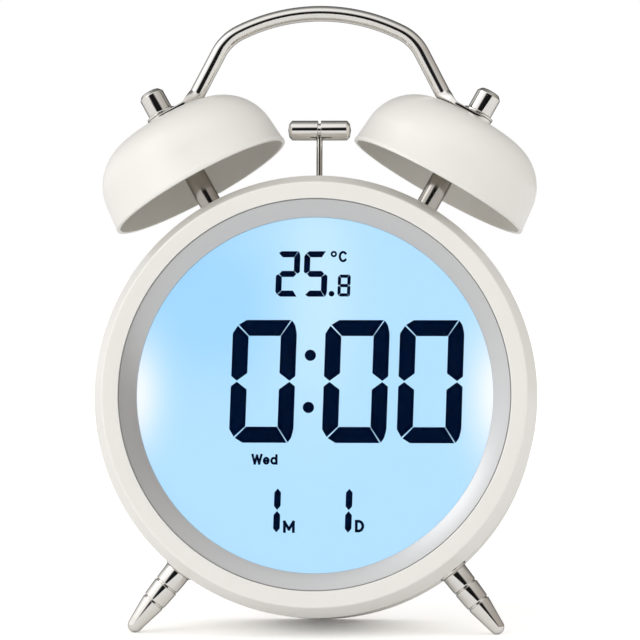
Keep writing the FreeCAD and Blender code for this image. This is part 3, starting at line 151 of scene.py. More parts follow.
# ---------------------------------------------------------------- places
SWING = next(joint for joint in frame["joints"] if joint["name"] == "hammer_swing")
LEAN = math.atan2(-SWING["axis"][2], SWING["axis"][1])
PIVOT_HEIGHT = 40.0 * MM


def stand(sizes):
    """From the upright clock's own place, with its axis through the origin, to where it leans."""
    return (Matrix.Translation(SWING["pos_m"]) @ Matrix.Rotation(-LEAN, 4, "X")
            @ Matrix.Translation((0, -sizes.bell_line, -PIVOT_HEIGHT)))


def foot_length(sizes):
    """From a foot's seat on its collar to the middle of its round tip, with the tip on the floor."""
    above = stand(sizes) @ Vector((0, sizes.foot_line, 0))
    down = above.z - sizes.foot_tip_radius
    return down / (math.cos(LEAN) * math.cos(sizes.foot_angle)) - sizes.case_radius - sizes.collar_height


def outward(angle, reach, line):
    """Where a part sits whose own Z axis points straight out of the case at an angle from the top."""
    return (Matrix.Translation((0, line, 0)) @ Matrix.Rotation(angle, 4, "Y")
            @ Matrix.Translation((0, 0, reach)))


BACKWARD = Matrix.Rotation(-math.pi / 2, 4, "X")


# ---------------------------------------------------------------- nodes
def feed(tree, node, inputs):
    """Joins a node's inputs to sockets or to other nodes' first outputs, or sets them to values."""
    for name, value in inputs.items():
        if isinstance(value, bpy.types.Node):
            value = value.outputs[0]
        if isinstance(value, bpy.types.NodeSocket):
            tree.links.new(value, node.inputs[name])
        else:
            node.inputs[name].default_value = value
    return node


def add_node(tree, kind, inputs, **settings):
    """A new node: its settings first, then its inputs."""
    node = tree.nodes.new(kind)
    for name, value in settings.items():
        setattr(node, name, value)
    return feed(tree, node, inputs)


def set_ramp(ramp, stops):
    """Gives a colour ramp's two ends their position and tint."""
    for end, (position, tint) in zip(ramp.color_ramp.elements, stops):
        end.position = position
        end.color = (*tint, 1)


# ---------------------------------------------------------------- node trees for shapes
HUB = 1 * MM


def placed(name, data):
    """A new object in the scene."""
    item = bpy.data.objects.new(name, data)
    bpy.context.scene.collection.objects.link(item)
    return item


def new_tree(name, inputs):
    """A geometry tree with a shape in and out, named inputs and its finishing nodes."""
    tree = bpy.data.node_groups.new(name, "GeometryNodeTree")
    tree.interface.new_socket("Shape", in_out="INPUT", socket_type="NodeSocketGeometry")
    for label, (kind, default) in inputs.items():
        item = tree.interface.new_socket(label, in_out="INPUT", socket_type="NodeSocket" + kind)
        item.default_value = default
    tree.interface.new_socket("Finish", in_out="INPUT", socket_type="NodeSocketMaterial")
    tree.interface.new_socket("Shape", in_out="OUTPUT", socket_type="NodeSocketGeometry")
    source = tree.nodes.new("NodeGroupInput").outputs
    realize = tree.nodes.new("GeometryNodeRealizeInstances")
    paint = add_node(tree, "GeometryNodeSetMaterial", {"Geometry": realize, "Material": source["Finish"]})
    add_node(tree, "NodeGroupOutput", {0: paint})
    return tree, source, realize


def turning_tree():
    """Spins a half outline about the Z axis."""
    tree, source, realize = new_tree("Turned part", {"Steps": ("Int", 96)})
    outline = add_node(tree, "GeometryNodeMeshToCurve", {0: source["Shape"]})
    circle = add_node(tree, "GeometryNodeCurvePrimitiveCircle", {
        "Resolution": source["Steps"], "Radius": HUB})
    upright = add_node(tree, "GeometryNodeSetCurveNormal", {"Curve": circle}, mode="Z_UP")
    sweep = add_node(tree, "GeometryNodeCurveToMesh", {"Curve": upright, "Profile Curve": outline})
    merge = add_node(tree, "GeometryNodeMergeByDistance", {0: sweep, "Distance": 2e-6})
    feed(tree, realize, {0: merge})


def rod_tree():
    """Draws a round rod along a path."""
    tree, source, realize = new_tree("Bent rod", {"Radius": ("Float", 2 * MM), "Steps": ("Int", 48)})
    path = add_node(tree, "GeometryNodeMeshToCurve", {0: source["Shape"]})
    section = add_node(tree, "GeometryNodeCurvePrimitiveCircle", {
        "Resolution": source["Steps"], "Radius": source["Radius"]})
    sweep = add_node(tree, "GeometryNodeCurveToMesh", {"Curve": path, "Profile Curve": section})
    feed(tree, realize, {0: sweep})


def ring_tree():
    """Sets copies of a part round a circle about the Z axis."""
    tree, source, realize = new_tree("Parts round a circle", {
        "Count": ("Int", 4), "Radius": ("Float", 50 * MM), "Start angle": ("Float", math.pi / 4)})
    circle = add_node(tree, "GeometryNodeCurvePrimitiveCircle", {
        "Resolution": source["Count"], "Radius": source["Radius"]})
    spin = add_node(tree, "ShaderNodeCombineXYZ", {"Z": source["Start angle"]})
    turn = add_node(tree, "GeometryNodeTransform", {"Geometry": circle, "Rotation": spin})
    points = add_node(tree, "GeometryNodeCurveToPoints", {"Curve": turn}, mode="EVALUATED")
    copies = add_node(tree, "GeometryNodeInstanceOnPoints", {"Points": points, "Instance": source["Shape"]})
    feed(tree, realize, {0: copies})


def applied(mesh, kind, set_up):
    """The plain mesh that one modifier makes of a mesh."""
    holder = placed("holder", mesh)
    set_up(holder.modifiers.new(kind.title(), kind))
    graph = bpy.context.evaluated_depsgraph_get()
    made = bpy.data.meshes.new_from_object(holder.evaluated_get(graph))
    bpy.data.objects.remove(holder)
    return made


def shaped(mesh, tree_name, **settings):
    """The mesh that a tree makes of a starting mesh."""
    def set_up(modifier):
        modifier.node_group = bpy.data.node_groups[tree_name]
        for item in modifier.node_group.interface.items_tree:
            if item.in_out == "INPUT" and item.name in settings:
                modifier[item.identifier] = settings[item.name]

    return applied(mesh, "NODES", set_up)


def carved(mesh, tool):
    """A mesh with another one cut out of it."""
    cutter = placed("cutter", tool)

    def set_up(modifier):
        modifier.object = cutter
        modifier.solver = "EXACT"

    made = applied(mesh, "BOOLEAN", set_up)
    bpy.data.objects.remove(cutter)
    return made


# ---------------------------------------------------------------- mesh helpers
def rounded(corners, closed=False, steps=6):
    """The points of an outline whose corners are (across, along, radius of the round)."""
    points = []
    for index, (across, along, radius) in enumerate(corners):
        here = Vector((across, along))
        if not radius or (not closed and index in (0, len(corners) - 1)):
            points.append(here)
            continue
        before = Vector(corners[index - 1][:2]) - here
        after = Vector(corners[(index + 1) % len(corners)][:2]) - here
        half = before.angle(after) / 2
        reach = min(radius / math.tan(half), before.length * 0.49, after.length * 0.49)
        bend = reach * math.tan(half)
        centre = here + (before.normalized() + after.normalized()).normalized() * (bend / math.sin(half))
        start = here + before.normalized() * reach - centre
        end = here + after.normalized() * reach - centre
        turn = math.atan2(start.x * end.y - start.y * end.x, start.dot(end))
        points += [centre + Matrix.Rotation(turn * step / steps, 2) @ start for step in range(steps + 1)]
    return points


def arc(centre, radius, start, end, steps):
    """Points of an arc in an outline, angles in radians."""
    return [Vector((centre[0] + radius * math.cos(start + (end - start) * step / steps),
                    centre[1] + radius * math.sin(start + (end - start) * step / steps)))
            for step in range(steps + 1)]


def meshed(work):
    """A new mesh with what was built."""
    mesh = bpy.data.meshes.new("built")
    work.to_mesh(mesh)
    work.free()
    return mesh


def closed_up(mesh, reach=1e-6):
    """Merges points closer than a reach, drops slivers and points the faces outwards."""
    work = bmesh.new()
    work.from_mesh(mesh)
    bmesh.ops.remove_doubles(work, verts=work.verts, dist=reach)
    bmesh.ops.dissolve_degenerate(work, edges=work.edges, dist=1e-7)
    bmesh.ops.recalc_face_normals(work, faces=work.faces)
    work.to_mesh(mesh)
    work.free()


def turned_mesh(points, place, steps=64, closed=False):
    """A turned part from the half outline (radius, height) in millimetres."""
    outline = bpy.data.meshes.new("outline")
    last = len(points) - 1
    edges = [(index, index + 1) for index in range(last)] + [(last, 0)] * closed
    outline.from_pydata([(point[0] * MM - HUB, -point[1] * MM, 0) for point in points], edges, [])
    mesh = shaped(outline, "Turned part", Steps=steps)
    mesh.transform(place)
    closed_up(mesh)
    return mesh


def joined(meshes):
    """Several meshes as one."""
    work = bmesh.new()
    for mesh in meshes:
        work.from_mesh(mesh)
    return meshed(work)


def prism(outline, start, end, place):
    """A straight-sided block from an outline in the XZ plane, between two depths, in millimetres."""
    work = bmesh.new()
    near = [work.verts.new((x * MM, start * MM, z * MM)) for x, z in outline]
    far = [work.verts.new((x * MM, end * MM, z * MM)) for x, z in outline]
    work.faces.new(near)
    work.faces.new(list(reversed(far)))
    for index in range(len(outline)):
        after = (index + 1) % len(outline)
        work.faces.new([near[after], near[index], far[index], far[after]])
    bmesh.ops.recalc_face_normals(work, faces=work.faces)
    work.transform(place)
    return meshed(work)


def give_finish(mesh, material):
    """Gives a mesh its one finish."""
    mesh.materials.clear()
    mesh.materials.append(bpy.data.materials[material])


def add_piece(name, mesh, material, body, nodes=(), smooth=35):
    """Puts a finished mesh into the scene as a piece that rides on a body."""
    mesh.name = name
    give_finish(mesh, material)
    for face in mesh.polygons:
        face.material_index = 0
        face.use_smooth = True
    mesh.set_sharp_from_angle(angle=math.radians(smooth))
    piece = placed(name, mesh)
    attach(piece, body)
    if nodes:
        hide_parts(*nodes)


# ---------------------------------------------------------------- finishes
DARK_EDGE = (0.04, 0.04, 0.04)
# the display's soft patches: tint, middle to the right and above, half width and height in
# millimetres, and the share of the patch from which on it is solid
PATCHES = (("display_pale", 0, 28, 26, 75, 0.8), ("display_deep", -28, 24, 40, 44, 0.7),
           ("display_glow", -50, 0, 20, 34, 0.8), ("display_glow", 50, 0, 21, 42, 0.8))


def new_finish(name):
    """A new material's tree, its plain shader and the place on the piece."""
    material = bpy.data.materials.new(name)
    material.use_nodes = True
    tree = material.node_tree
    place = tree.nodes.new("ShaderNodeTexCoord").outputs["Object"]
    return tree, tree.nodes["Principled BSDF"], place


def surface_finish(name, rgb, roughness, metallic=0.0, coat=0.0, drift=0.04, drift_scale=45.0,
                   grain=0.05, grain_scale=1400.0, grain_depth=0.00002, roughness_drift=0.05,
                   stretch=(1, 1, 1), specular=0.5, edge=(1, 1, 1)):
    """A painted, moulded or metal surface with slow colour drift, a fine grain and uneven gloss."""
    tree, shader, place = new_finish(name)
    slow = add_node(tree, "ShaderNodeTexNoise", {"Vector": place, "Scale": drift_scale, "Detail": 4})
    tint = add_node(tree, "ShaderNodeValToRGB", {"Fac": slow})
    set_ramp(tint, ((0.3, [part * (1 - drift) for part in rgb]), (0.7, rgb)))
    gloss = add_node(tree, "ShaderNodeMapRange", {
        "Value": slow, "To Min": max(roughness - roughness_drift, 0.01),
        "To Max": roughness + roughness_drift})
    spread = add_node(tree, "ShaderNodeMapping", {"Vector": place, "Scale": stretch})
    fine = add_node(tree, "ShaderNodeTexNoise", {"Vector": spread, "Scale": grain_scale, "Detail": 3})
    bump = add_node(tree, "ShaderNodeBump", {"Height": fine, "Strength": grain, "Distance": grain_depth})
    feed(tree, shader, {
        "Base Color": tint, "Roughness": gloss, "Normal": bump, "Metallic": metallic, "Coat Weight": coat,
        "Coat Roughness": 0.14, "Specular IOR Level": specular, "Specular Tint": (*edge, 1)})


def display_finish(name, tints, centre):
    """The lit ground of the display: blue, paler up the middle, deeper at the upper left and almost
    white beside the lamps at both sides."""
    tree, shader, place = new_finish(name)
    ground = (*tints.display, 1)
    for tint, across, up, width, height, solid in PATCHES:
        spread = (1 / (width * MM), 0, 1 / (height * MM))
        shift = add_node(tree, "ShaderNodeMapping", {
            "Vector": place, "Scale": spread,
            "Location": (-(centre.x + across * MM) * spread[0], 0, -(centre.z + up * MM) * spread[2])})
        fade = add_node(tree, "ShaderNodeTexGradient", {"Vector": shift}, gradient_type="QUADRATIC_SPHERE")
        share = add_node(tree, "ShaderNodeMapRange", {"Value": fade.outputs["Fac"], "From Max": solid},
                         interpolation_type="SMOOTHSTEP")
        laid = {"Factor": share, "A": ground, "B": (*getattr(tints, tint), 1)}
        ground = add_node(tree, "ShaderNodeMix", laid, data_type="RGBA").outputs["Result"]
    feed(tree, shader, {
        "Base Color": (0.02, 0.03, 0.05, 1), "Roughness": 0.35, "Specular IOR Level": 0.1,
        "Emission Strength": 1.0, "Emission Color": ground})


def clear_finish(name):
    """The clear front lens with a trace of haze."""
    tree, shader, place = new_finish(name)
    haze = add_node(tree, "ShaderNodeTexNoise", {"Vector": place, "Scale": 60.0})
    spread = add_node(tree, "ShaderNodeMapRange", {"Value": haze, "To Max": 0.02})
    feed(tree, shader, {
        "Base Color": (1, 1, 1, 1), "Transmission Weight": 1.0, "IOR": 1.12, "Roughness": spread})


def make_finishes(tints):
    """Every finish of the clock."""
    surface_finish("shell enamel", tints.shell, 0.3, coat=0.3, drift=0.015, grain=0.25,
                   grain_scale=900, grain_depth=0.00001)
    surface_finish("satin cone", tints.cone, 0.36, metallic=0.9, drift=0.02, grain=0.3, grain_scale=2200)
    surface_finish("plated chrome", tints.chrome, 0.06, metallic=1.0, drift=0.03, grain=0.005,
                   roughness_drift=0.0, drift_scale=120, edge=DARK_EDGE)
    # a darker copy of the plated chrome for the posts: painted shade under the bells
    surface_finish("chrome with painted shade", tints.posts, 0.12, metallic=1.0, drift=0.05, grain=0.06,
                   roughness_drift=0.03, drift_scale=120, edge=DARK_EDGE)
    surface_finish("polished steel", tints.steel, 0.09, metallic=1.0, drift=0.04, grain=0.015,
                   grain_scale=1200, stretch=(0.1, 1, 1), roughness_drift=0.03, edge=DARK_EDGE)
    surface_finish("drawn steel", (0.62, 0.62, 0.63), 0.3, metallic=1.0, drift=0.08, grain=0.5,
                   grain_scale=1500, stretch=(1, 1, 0.1))
    surface_finish("cover plastic", tints.cover, 0.48, drift=0.02, grain=0.9, grain_scale=1900,
                   grain_depth=0.00006)
    surface_finish("key plastic", tints.keys, 0.4, drift=0.03, grain=0.5, grain_scale=1800)
    surface_finish("tray plastic", (0.75, 0.75, 0.72), 0.55, drift=0.03, grain=0.5)
    surface_finish("circuit board", (0.02, 0.12, 0.05), 0.4, coat=0.3, drift=0.2, drift_scale=350)
    surface_finish("black plastic", (0.02, 0.02, 0.022), 0.45, drift=0.2, grain=0.4)
    surface_finish("can metal", (0.6, 0.6, 0.61), 0.3, metallic=0.9, drift=0.06, grain=0.4)
    surface_finish("brass", (0.62, 0.42, 0.14), 0.28, metallic=1.0, drift=0.1, grain=0.3)
    surface_finish("gear plastic", (0.82, 0.81, 0.76), 0.4, drift=0.04, grain=0.3)
    surface_finish("cell wrap", (0.03, 0.035, 0.045), 0.3, coat=0.3, drift=0.1)
    surface_finish("elastomer", (0.6, 0.25, 0.28), 0.6, drift=0.1, grain=0.4)
    surface_finish("diffuser", (0.7, 0.82, 0.92), 0.3, drift=0.04, specular=0.4)
    surface_finish("digit ink", tints.digits, 0.6, drift=0.1, grain=0.1, specular=0.0)
    clear_finish("clear lens")


# ---------------------------------------------------------------- display characters
# places are millimetres right of and above the display's middle, before the slant
SLANT = math.tan(math.radians(1.7))
SEGMENTS = {"0": "abcdef", "2": "abged", "5": "afgcd", "8": "abcdefg"}
TIME = {"text": "000", "lefts": (-22.45, 2.2, 21.98), "base": -12.7, "width": 17.05, "height": 32.67,
        "stroke": 4.25, "gap": 0.14}
DEGREES = {"text": "25", "lefts": (-11.55, -4.15), "base": 26.2, "width": 6.35, "height": 12.15,
           "stroke": 1.62, "gap": 0.06}
TENTH = {"text": "8", "lefts": (5.0,), "base": 26.25, "width": 3.4, "height": 5.85, "stroke": 0.86,
         "gap": 0.04}
DATE_ONES = {"lefts": (-8.95, 10.0), "base": -36.4, "height": 11.6, "width": 1.75, "gap": 0.12}
COLON = ((-1.3, 10.57, 1.5), (-1.73, -3.3, 1.5))
POINT = (4.25, 27.0, 0.75)
DEGREE_SIGN = (4.8, 37.6, 0.84, 0.34)
PEN = 0.62
# each letter's strokes in a box one unit wide and one high, and how its box is shared out below
ARCH = [(0.5 + 0.5 * math.cos(math.tau * step / 24), 0.5 + 0.5 * math.sin(math.tau * step / 24))
        for step in range(25)]
STROKES = {
    "W": [[(0, 1), (0.25, 0), (0.5, 0.92), (0.75, 0), (1, 1)]],
    "M": [[(0, 0), (0, 1), (0.5, 0.25), (1, 1), (1, 0)]],
    "D": [[(0, 0.5), (0, 1), (0.45, 1), (0.8, 0.88), (1, 0.62), (1, 0.38), (0.8, 0.12), (0.45, 0), (0, 0),
           (0, 0.5)]],
    "C": [ARCH[3:22]],
    "e": [ARCH[:22], [(0, 0.5), (1, 0.5)]],
    "d": [[(1, 1.46), (1, 0)], ARCH],
}
LETTERS = (("W", -16.75, -13.8, -18.5, 2.86), ("e", -13.72, -11.92, -18.5, 2.08),
           ("d", -11.75, -9.81, -18.5, 2.08), ("M", -8.24, -5.14, -36.5, 3.2, 0.74),
           ("D", 10.75, 13.2, -36.3, 3.3, 0.74), ("C", 6.1, 8.45, 35.4, 3.05))
# depths behind the front, in millimetres
INK_FRONT, INK_BACK, PANEL_FRONT = 5.80, 5.92, 6.0


def segment_outlines(width, height, stroke, gap):
    """The seven segments of a digit from its lower left corner: chamfered outer corners, a slanting
    cut at each left corner, a steep one at each right corner and points half way up."""
    middle = height / 2
    near, far = 0.33 * stroke, 0.85 * stroke
    point = 0.36 * stroke
    steep = 0.36 * stroke
    top = [(near + gap, height - near + gap), (far, height), (width - stroke + 0.64 * stroke - gap, height),
           (width - stroke - gap, height - stroke), (stroke + gap, height - stroke)]
    left = [(near - gap, height - near - gap), (0, height - far), (0, middle + point * 0.8 + gap),
            (point, middle + gap), (stroke, middle + gap + (stroke - point) * 0.75),
            (stroke, height - stroke - gap)]
    right = [(width - steep + gap, height - 0.02 * stroke), (width - 0.12 * stroke, height - 0.33 * stroke),
             (width, height - far), (width, middle + point * 0.8 + gap), (width - point, middle + gap),
             (width - stroke, middle + gap + (stroke - point) * 0.75), (width - stroke, height - stroke)]
    half = stroke / 2
    bar = [(half + gap, middle), (stroke, middle + half), (width - stroke, middle + half),
           (width - half - gap, middle), (width - stroke, middle - half), (stroke, middle - half)]

    def flip(points):
        """The same outline upside down."""
        return [(across, height - up) for across, up in points]

    return {"a": top, "b": right, "c": flip(right), "d": flip(top), "e": flip(left), "f": left, "g": bar}


def slanted(points, left, base):
    """An outline moved to its place on the display and slanted with the other characters."""
    return [(left + across + (base + up) * SLANT, base + up) for across, up in points]


def digits(text, lefts, base, width, height, stroke, gap):
    """The lit segments of a row of digits, as outlines."""
    shapes = segment_outlines(width, height, stroke, gap)
    return [slanted(shapes[letter], left, base)
            for character, left in zip(text, lefts) for letter in SEGMENTS[character]]


def pointed_ones(lefts, base, width, height, gap):
    """Each 1 of the date: two bars, one above the other, pointed at both ends."""
    half, tall = width / 2, height / 2
    outlines = []
    for left in lefts:
        for low, high in ((0, tall - gap), (tall + gap, height)):
            bar = [(0, low), (half, low + width * 0.6), (half, high - width * 0.6), (0, high),
                   (-half, high - width * 0.6), (-half, low + width * 0.6)]
            outlines.append(slanted(bar, left, base))
    return outlines


def spot(across, up, radius, steps=28):
    """A round dot as an outline."""
    return [(across + radius * math.cos(math.tau * step / steps),
             up + radius * math.sin(math.tau * step / steps)) for step in range(steps)]


def ring_marks(across, up, radius, hole, steps=28):
    """A small ring as a row of four-cornered outlines."""
    outer, inner = spot(across, up, radius, steps), spot(across, up, hole, steps)
    return [[outer[step], outer[(step + 1) % steps], inner[(step + 1) % steps], inner[step]]
            for step in range(steps)]


def ribbon(path, pen):
    """A stroke along a path as four-cornered outlines: shallow bends are mitred, sharp ones overlap."""
    points = [Vector(point) for point in path]
    ways = [(after - before).normalized() for before, after in zip(points, points[1:])]
    last = len(ways) - 1
    joined_up = (points[0] - points[-1]).length < pen / 100
    outlines = []
    for index, way in enumerate(ways):
        before = ways[index - 1] if index or joined_up else way
        after = ways[(index + 1) % len(ways)] if index < last or joined_up else way
        sides = []
        for point, other, sign in ((points[index], before, -1), (points[index + 1], after, 1)):
            shallow = way.dot(other) > 0.7 and other is not way
            mitre = (way + other).normalized() if shallow else way
            normal = Vector((-mitre.y, mitre.x)) * (pen / 2 / mitre.dot(way))
            if not shallow:
                point = point + way * (sign * pen / 2)
            sides.append((tuple(point + normal), tuple(point - normal)))
        outlines.append([sides[0][0], sides[0][1], sides[1][1], sides[1][0]])
    return outlines


def letter(name, left, right, base, height, pen=PEN):
    """A plain letter whose strokes reach the edges of its box, as outlines."""
    wide, tall = right - left - pen, height - pen
    return [outline for path in STROKES[name]
            for outline in ribbon([(left + pen / 2 + wide * across, base + pen / 2 + tall * up)
                                   for across, up in path], pen)]


# ---------------------------------------------------------------- the handle's ends
# the flat tab: thickness, width, reach from the stud to the bend, and the bend's length on the rod
TAB_HEIGHT, TAB_WIDTH, TAB_REACH, TAB_BLEND = 1.2, 8.4, 9.5, 2.4


def bow(centre, radius, start, end, steps):
    """Points of an arc after its first one, angles in radians from straight up."""
    angles = [start + (end - start) * step / steps for step in range(1, steps + 1)]
    return [centre + Vector((math.sin(angle), math.cos(angle))) * radius for angle in angles]


def end_sections(rod_end, bend, stud, rod_normal, across, radius):
    """The handle's right end from the round rod to the flat tab under the cap nut, as sections of
    middle, normal, half width, half height and squareness."""
    out = Vector((-across.y, across.x))
    wide, thick = TAB_WIDTH / 2, TAB_HEIGHT / 2
    flat_start = bend + across * (TAB_BLEND * 1.6)
    sections = []
    for step in range(17):
        share = step / 16
        ease = share * share * (3 - 2 * share)
        point = rod_end.lerp(bend, share).lerp(bend.lerp(flat_start, share), share)
        half = radius + (thick - radius) * ease
        sections.append((point + out * (half - thick) * ease, rod_normal.lerp(out, ease).normalized(),
                         radius + (wide - radius) * ease, half, 2 + 6 * ease))
    sections += [(flat_start.lerp(stud, step / 4), out, wide, thick, 8) for step in range(1, 5)]
    for step in range(1, 11):
        angle = math.radians(9 * step)
        sections.append((stud + across * (wide * math.sin(angle)), out, wide * max(math.cos(angle), 0.02),
                         thick * (1 - 0.25 * (step == 10)), 8))
    return sections


def skinned(sections, line, sides=48):
    """A skin over sections that stand across the bells' plane, closed at the last one."""
    work = bmesh.new()
    rings = []
    for point, normal, wide, thick, power in sections:
        ring = []
        for index in range(sides):
            angle = math.tau * index / sides
            lateral, height = (math.copysign(abs(part) ** (2 / power), part) * half
                               for part, half in ((math.cos(angle), wide), (math.sin(angle), thick)))
            at = point + normal * height
            ring.append(work.verts.new((at.x * MM, line + lateral * MM, at.y * MM)))
        rings.append(ring)
    for near, far in zip(rings, rings[1:]):
        for index in range(sides):
            after = (index + 1) % sides
            work.faces.new([near[index], near[after], far[after], far[index]])
    work.faces.new(rings[-1])
    return meshed(work)


# ---------------------------------------------------------------- floor, room and lights
def ray_kinds(tree):
    """1 for mirrored rays, and 1 for the camera's rays, also through the lens."""
    ray = tree.nodes.new("ShaderNodeLightPath").outputs
    seen = add_node(tree, "ShaderNodeMath", {0: ray["Is Camera Ray"], 1: ray["Is Transmission Ray"]},
                    operation="MAXIMUM")
    return ray["Is Glossy Ray"], seen


def pale_floor(stage):
    """A wide floor that looks white to the camera and keeps the clock's shadow."""
    mesh = bpy.data.meshes.new("floor")
    reach = 6.0
    mesh.from_pydata([(-reach, -reach, 0), (reach, -reach, 0), (reach, reach, 0), (-reach, reach, 0)],
                     [], [(0, 1, 2, 3)])
    floor = placed("floor", mesh)
    mesh.materials.append(bpy.data.materials.new("pale floor"))
    mesh.materials[0].use_nodes = True
    tree = mesh.materials[0].node_tree
    shader = feed(tree, tree.nodes["Principled BSDF"], {
        "Base Color": (*[stage.floor_white] * 3, 1), "Roughness": 0.7, "Specular IOR Level": 0.1})
    mirrored, seen = ray_kinds(tree)
    shown = add_node(tree, "ShaderNodeMath", {0: seen, 1: stage.floor_lift}, operation="MULTIPLY")
    strength = add_node(tree, "ShaderNodeMath", {0: mirrored, 1: stage.floor_mirror, 2: shown},
                        operation="MULTIPLY_ADD")
    lift = add_node(tree, "ShaderNodeEmission", {"Strength": strength})
    extra = add_node(tree, "ShaderNodeBsdfDiffuse", {"Color": (*[stage.floor_extra] * 3, 1)})
    paler = add_node(tree, "ShaderNodeMixShader", {"Fac": seen, 2: extra})
    lifted = add_node(tree, "ShaderNodeAddShader", {0: shader, 1: lift})
    whole = add_node(tree, "ShaderNodeAddShader", {0: lifted, 1: paler})
    feed(tree, tree.nodes["Material Output"], {"Surface": whole})


def surroundings(stage):
    """White for the camera, plain light on the pieces, and a room with a soft box in mirrors."""
    world = bpy.data.worlds.new("studio")
    bpy.context.scene.world = world
    world.use_nodes = True
    tree = world.node_tree
    place = tree.nodes.new("ShaderNodeTexCoord").outputs["Generated"]

    def seen_from(direction, *stops):
        """A ramp over the cosine between the mirrored ray and a direction."""
        aim = add_node(tree, "ShaderNodeVectorMath", {0: place, 1: Vector(direction).normalized()},
                       operation="DOT_PRODUCT")
        share = add_node(tree, "ShaderNodeMapRange", {"Value": aim.outputs["Value"], "From Min": -1.0})
        ramp = add_node(tree, "ShaderNodeValToRGB", {"Fac": share})
        ramp.color_ramp.interpolation = "EASE"
        set_ramp(ramp, [((cosine + 1) / 2, tint) for cosine, tint in stops])
        return ramp

    def blended(kind, first, second):
        """Two colours multiplied or added."""
        return add_node(tree, "ShaderNodeMix", {"Factor": 1.0, "A": first, "B": second},
                        data_type="RGBA", blend_type=kind).outputs["Result"]

    # darker towards the lower right, dim overhead at the back, dark round the viewer, and a soft box
    # at the upper left
    walls = seen_from((-0.85, 0, 0.53), (-0.75, (0.37, 0.34, 0.31)), (0.75, (1, 1, 1)))
    ceiling = seen_from((0, 0.6, 0.8), (0.5, (1, 1, 1)), (0.95, (0.25, 0.25, 0.25)))
    viewer = (math.sin(stage.turn), -math.cos(stage.turn), 0.05)
    gap = seen_from(viewer, (0.77, (1, 1, 1)), (0.92, (0.012, 0.012, 0.014)))
    soft_box = seen_from((-0.74, -0.23, 0.63), (0.94, (0, 0, 0)), (0.985, (1, 1, 1)))
    bright = add_node(tree, "ShaderNodeVectorMath", {0: soft_box, "Scale": stage.soft_box}, operation="SCALE")
    room = blended("MULTIPLY", blended("MULTIPLY", walls, ceiling), gap)
    plain = feed(tree, tree.nodes["Background"], {"Color": (1, 0.99, 0.98, 1), "Strength": stage.sky})
    shine = add_node(tree, "ShaderNodeBackground", {"Color": blended("ADD", room, bright)})
    white = add_node(tree, "ShaderNodeBackground", {"Color": (1, 1, 1, 1), "Strength": 1.0})
    mirrored, seen = ray_kinds(tree)
    around = add_node(tree, "ShaderNodeMixShader", {"Fac": mirrored, 1: plain, 2: shine})
    whole = add_node(tree, "ShaderNodeMixShader", {"Fac": seen, 1: around, 2: white})
    feed(tree, tree.nodes["World Output"], {"Surface": whole})


def soft_light(name, strength, spread, toward):
    """A wide lamp that stands in a direction and isn't mirrored."""
    light = bpy.data.lights.new(name, "SUN")
    light.energy = strength
    light.angle = math.radians(spread)
    holder = placed(name, light)
    holder.visible_glossy = False
    holder.rotation_euler = Vector(toward).to_track_quat("Z", "Y").to_euler()


def aim_camera(stage, middle):
    """The camera, a little to the clock's right and looking slightly down."""
    camera = placed("camera", bpy.data.cameras.new("camera"))
    camera.data.lens = stage.lens
    camera.data.sensor_width = 36
    camera.data.clip_start = 0.05
    back, side = stage.distance, stage.side_step
    camera.location = (middle.x + back * math.sin(stage.turn) - side * math.cos(stage.turn),
                       middle.y - back * math.cos(stage.turn) - side * math.sin(stage.turn), stage.height)
    camera.rotation_euler = (math.pi / 2 - stage.tilt, 0, stage.turn)
    bpy.context.scene.camera = camera


# ---------------------------------------------------------------- operators
class CLOCK_OT_case(bpy.types.Operator):
    """Build the drum with its rolled rear rim and the front bezel"""
    bl_idname = "clock.case"
    bl_label = "Case and bezel"

    def execute(self, context):
        sizes = context.scene.clock_sizes
        place = stand(sizes)
        steps = sizes.turning_steps
        outer, depth = sizes.case_radius / MM, sizes.case_depth / MM
        inside, front = sizes.case_inside / MM, sizes.bezel_depth / MM
        bead, bead_line = 1.2, depth - 1.2
        bead_centre = outer + 0.7 - bead
        start = math.acos((outer - bead_centre) / bead)
        drum = rounded([(inside, front, 0), (outer, front, 0), (outer, 20, 0), (outer, 34, 0)])
        drum += arc((bead_centre, bead_line), bead, -start, math.pi / 2, 10)
        ledge, ledge_back, ledge_front = 54.1, depth - 4.2, depth - 5.2
        drum += rounded([(inside, depth, 0), (inside, ledge_back, 0), (ledge, ledge_back, 0),
                         (ledge, ledge_front, 0), (inside, ledge_front, 0)])
        shell = turned_mesh(drum, place @ BACKWARD, steps, closed=True)
        long, wide, bend = 2.5, 1.7, 1.0
        corners = [(-long, -wide, bend), (long, -wide, bend), (long, wide, bend), (-long, wide, bend)]
        slot = prism(rounded(corners, closed=True), -70, -50,
                     place @ Matrix.Translation((0, sizes.bell_line, 0)) @ BACKWARD)
        add_piece("drum", carved(shell, slot), "shell enamel", "case", ["case_drum"])

        edge, bore, face = sizes.bezel_radius / MM, sizes.bezel_bore / MM, sizes.bezel_face / MM
        seat, seat_bore, seat_back, seat_front = inside - 0.1, 54.0, 12.0, 3.0
        bezel = rounded([
            (bore, seat_front, 0), (bore, 0, 0.3), (face, 0, 0.7), (edge, front - 0.8, 0.5),
            (edge, front, 0.25), (seat, front, 0), (seat, seat_back, 0.2), (seat_bore, seat_back, 0.2),
            (seat_bore, seat_front, 0)], closed=True, steps=10)
        add_piece("bezel", turned_mesh(bezel, place @ BACKWARD, steps, closed=True), "shell enamel", "case",
                  ["front_bezel"])
        return {"FINISHED"}


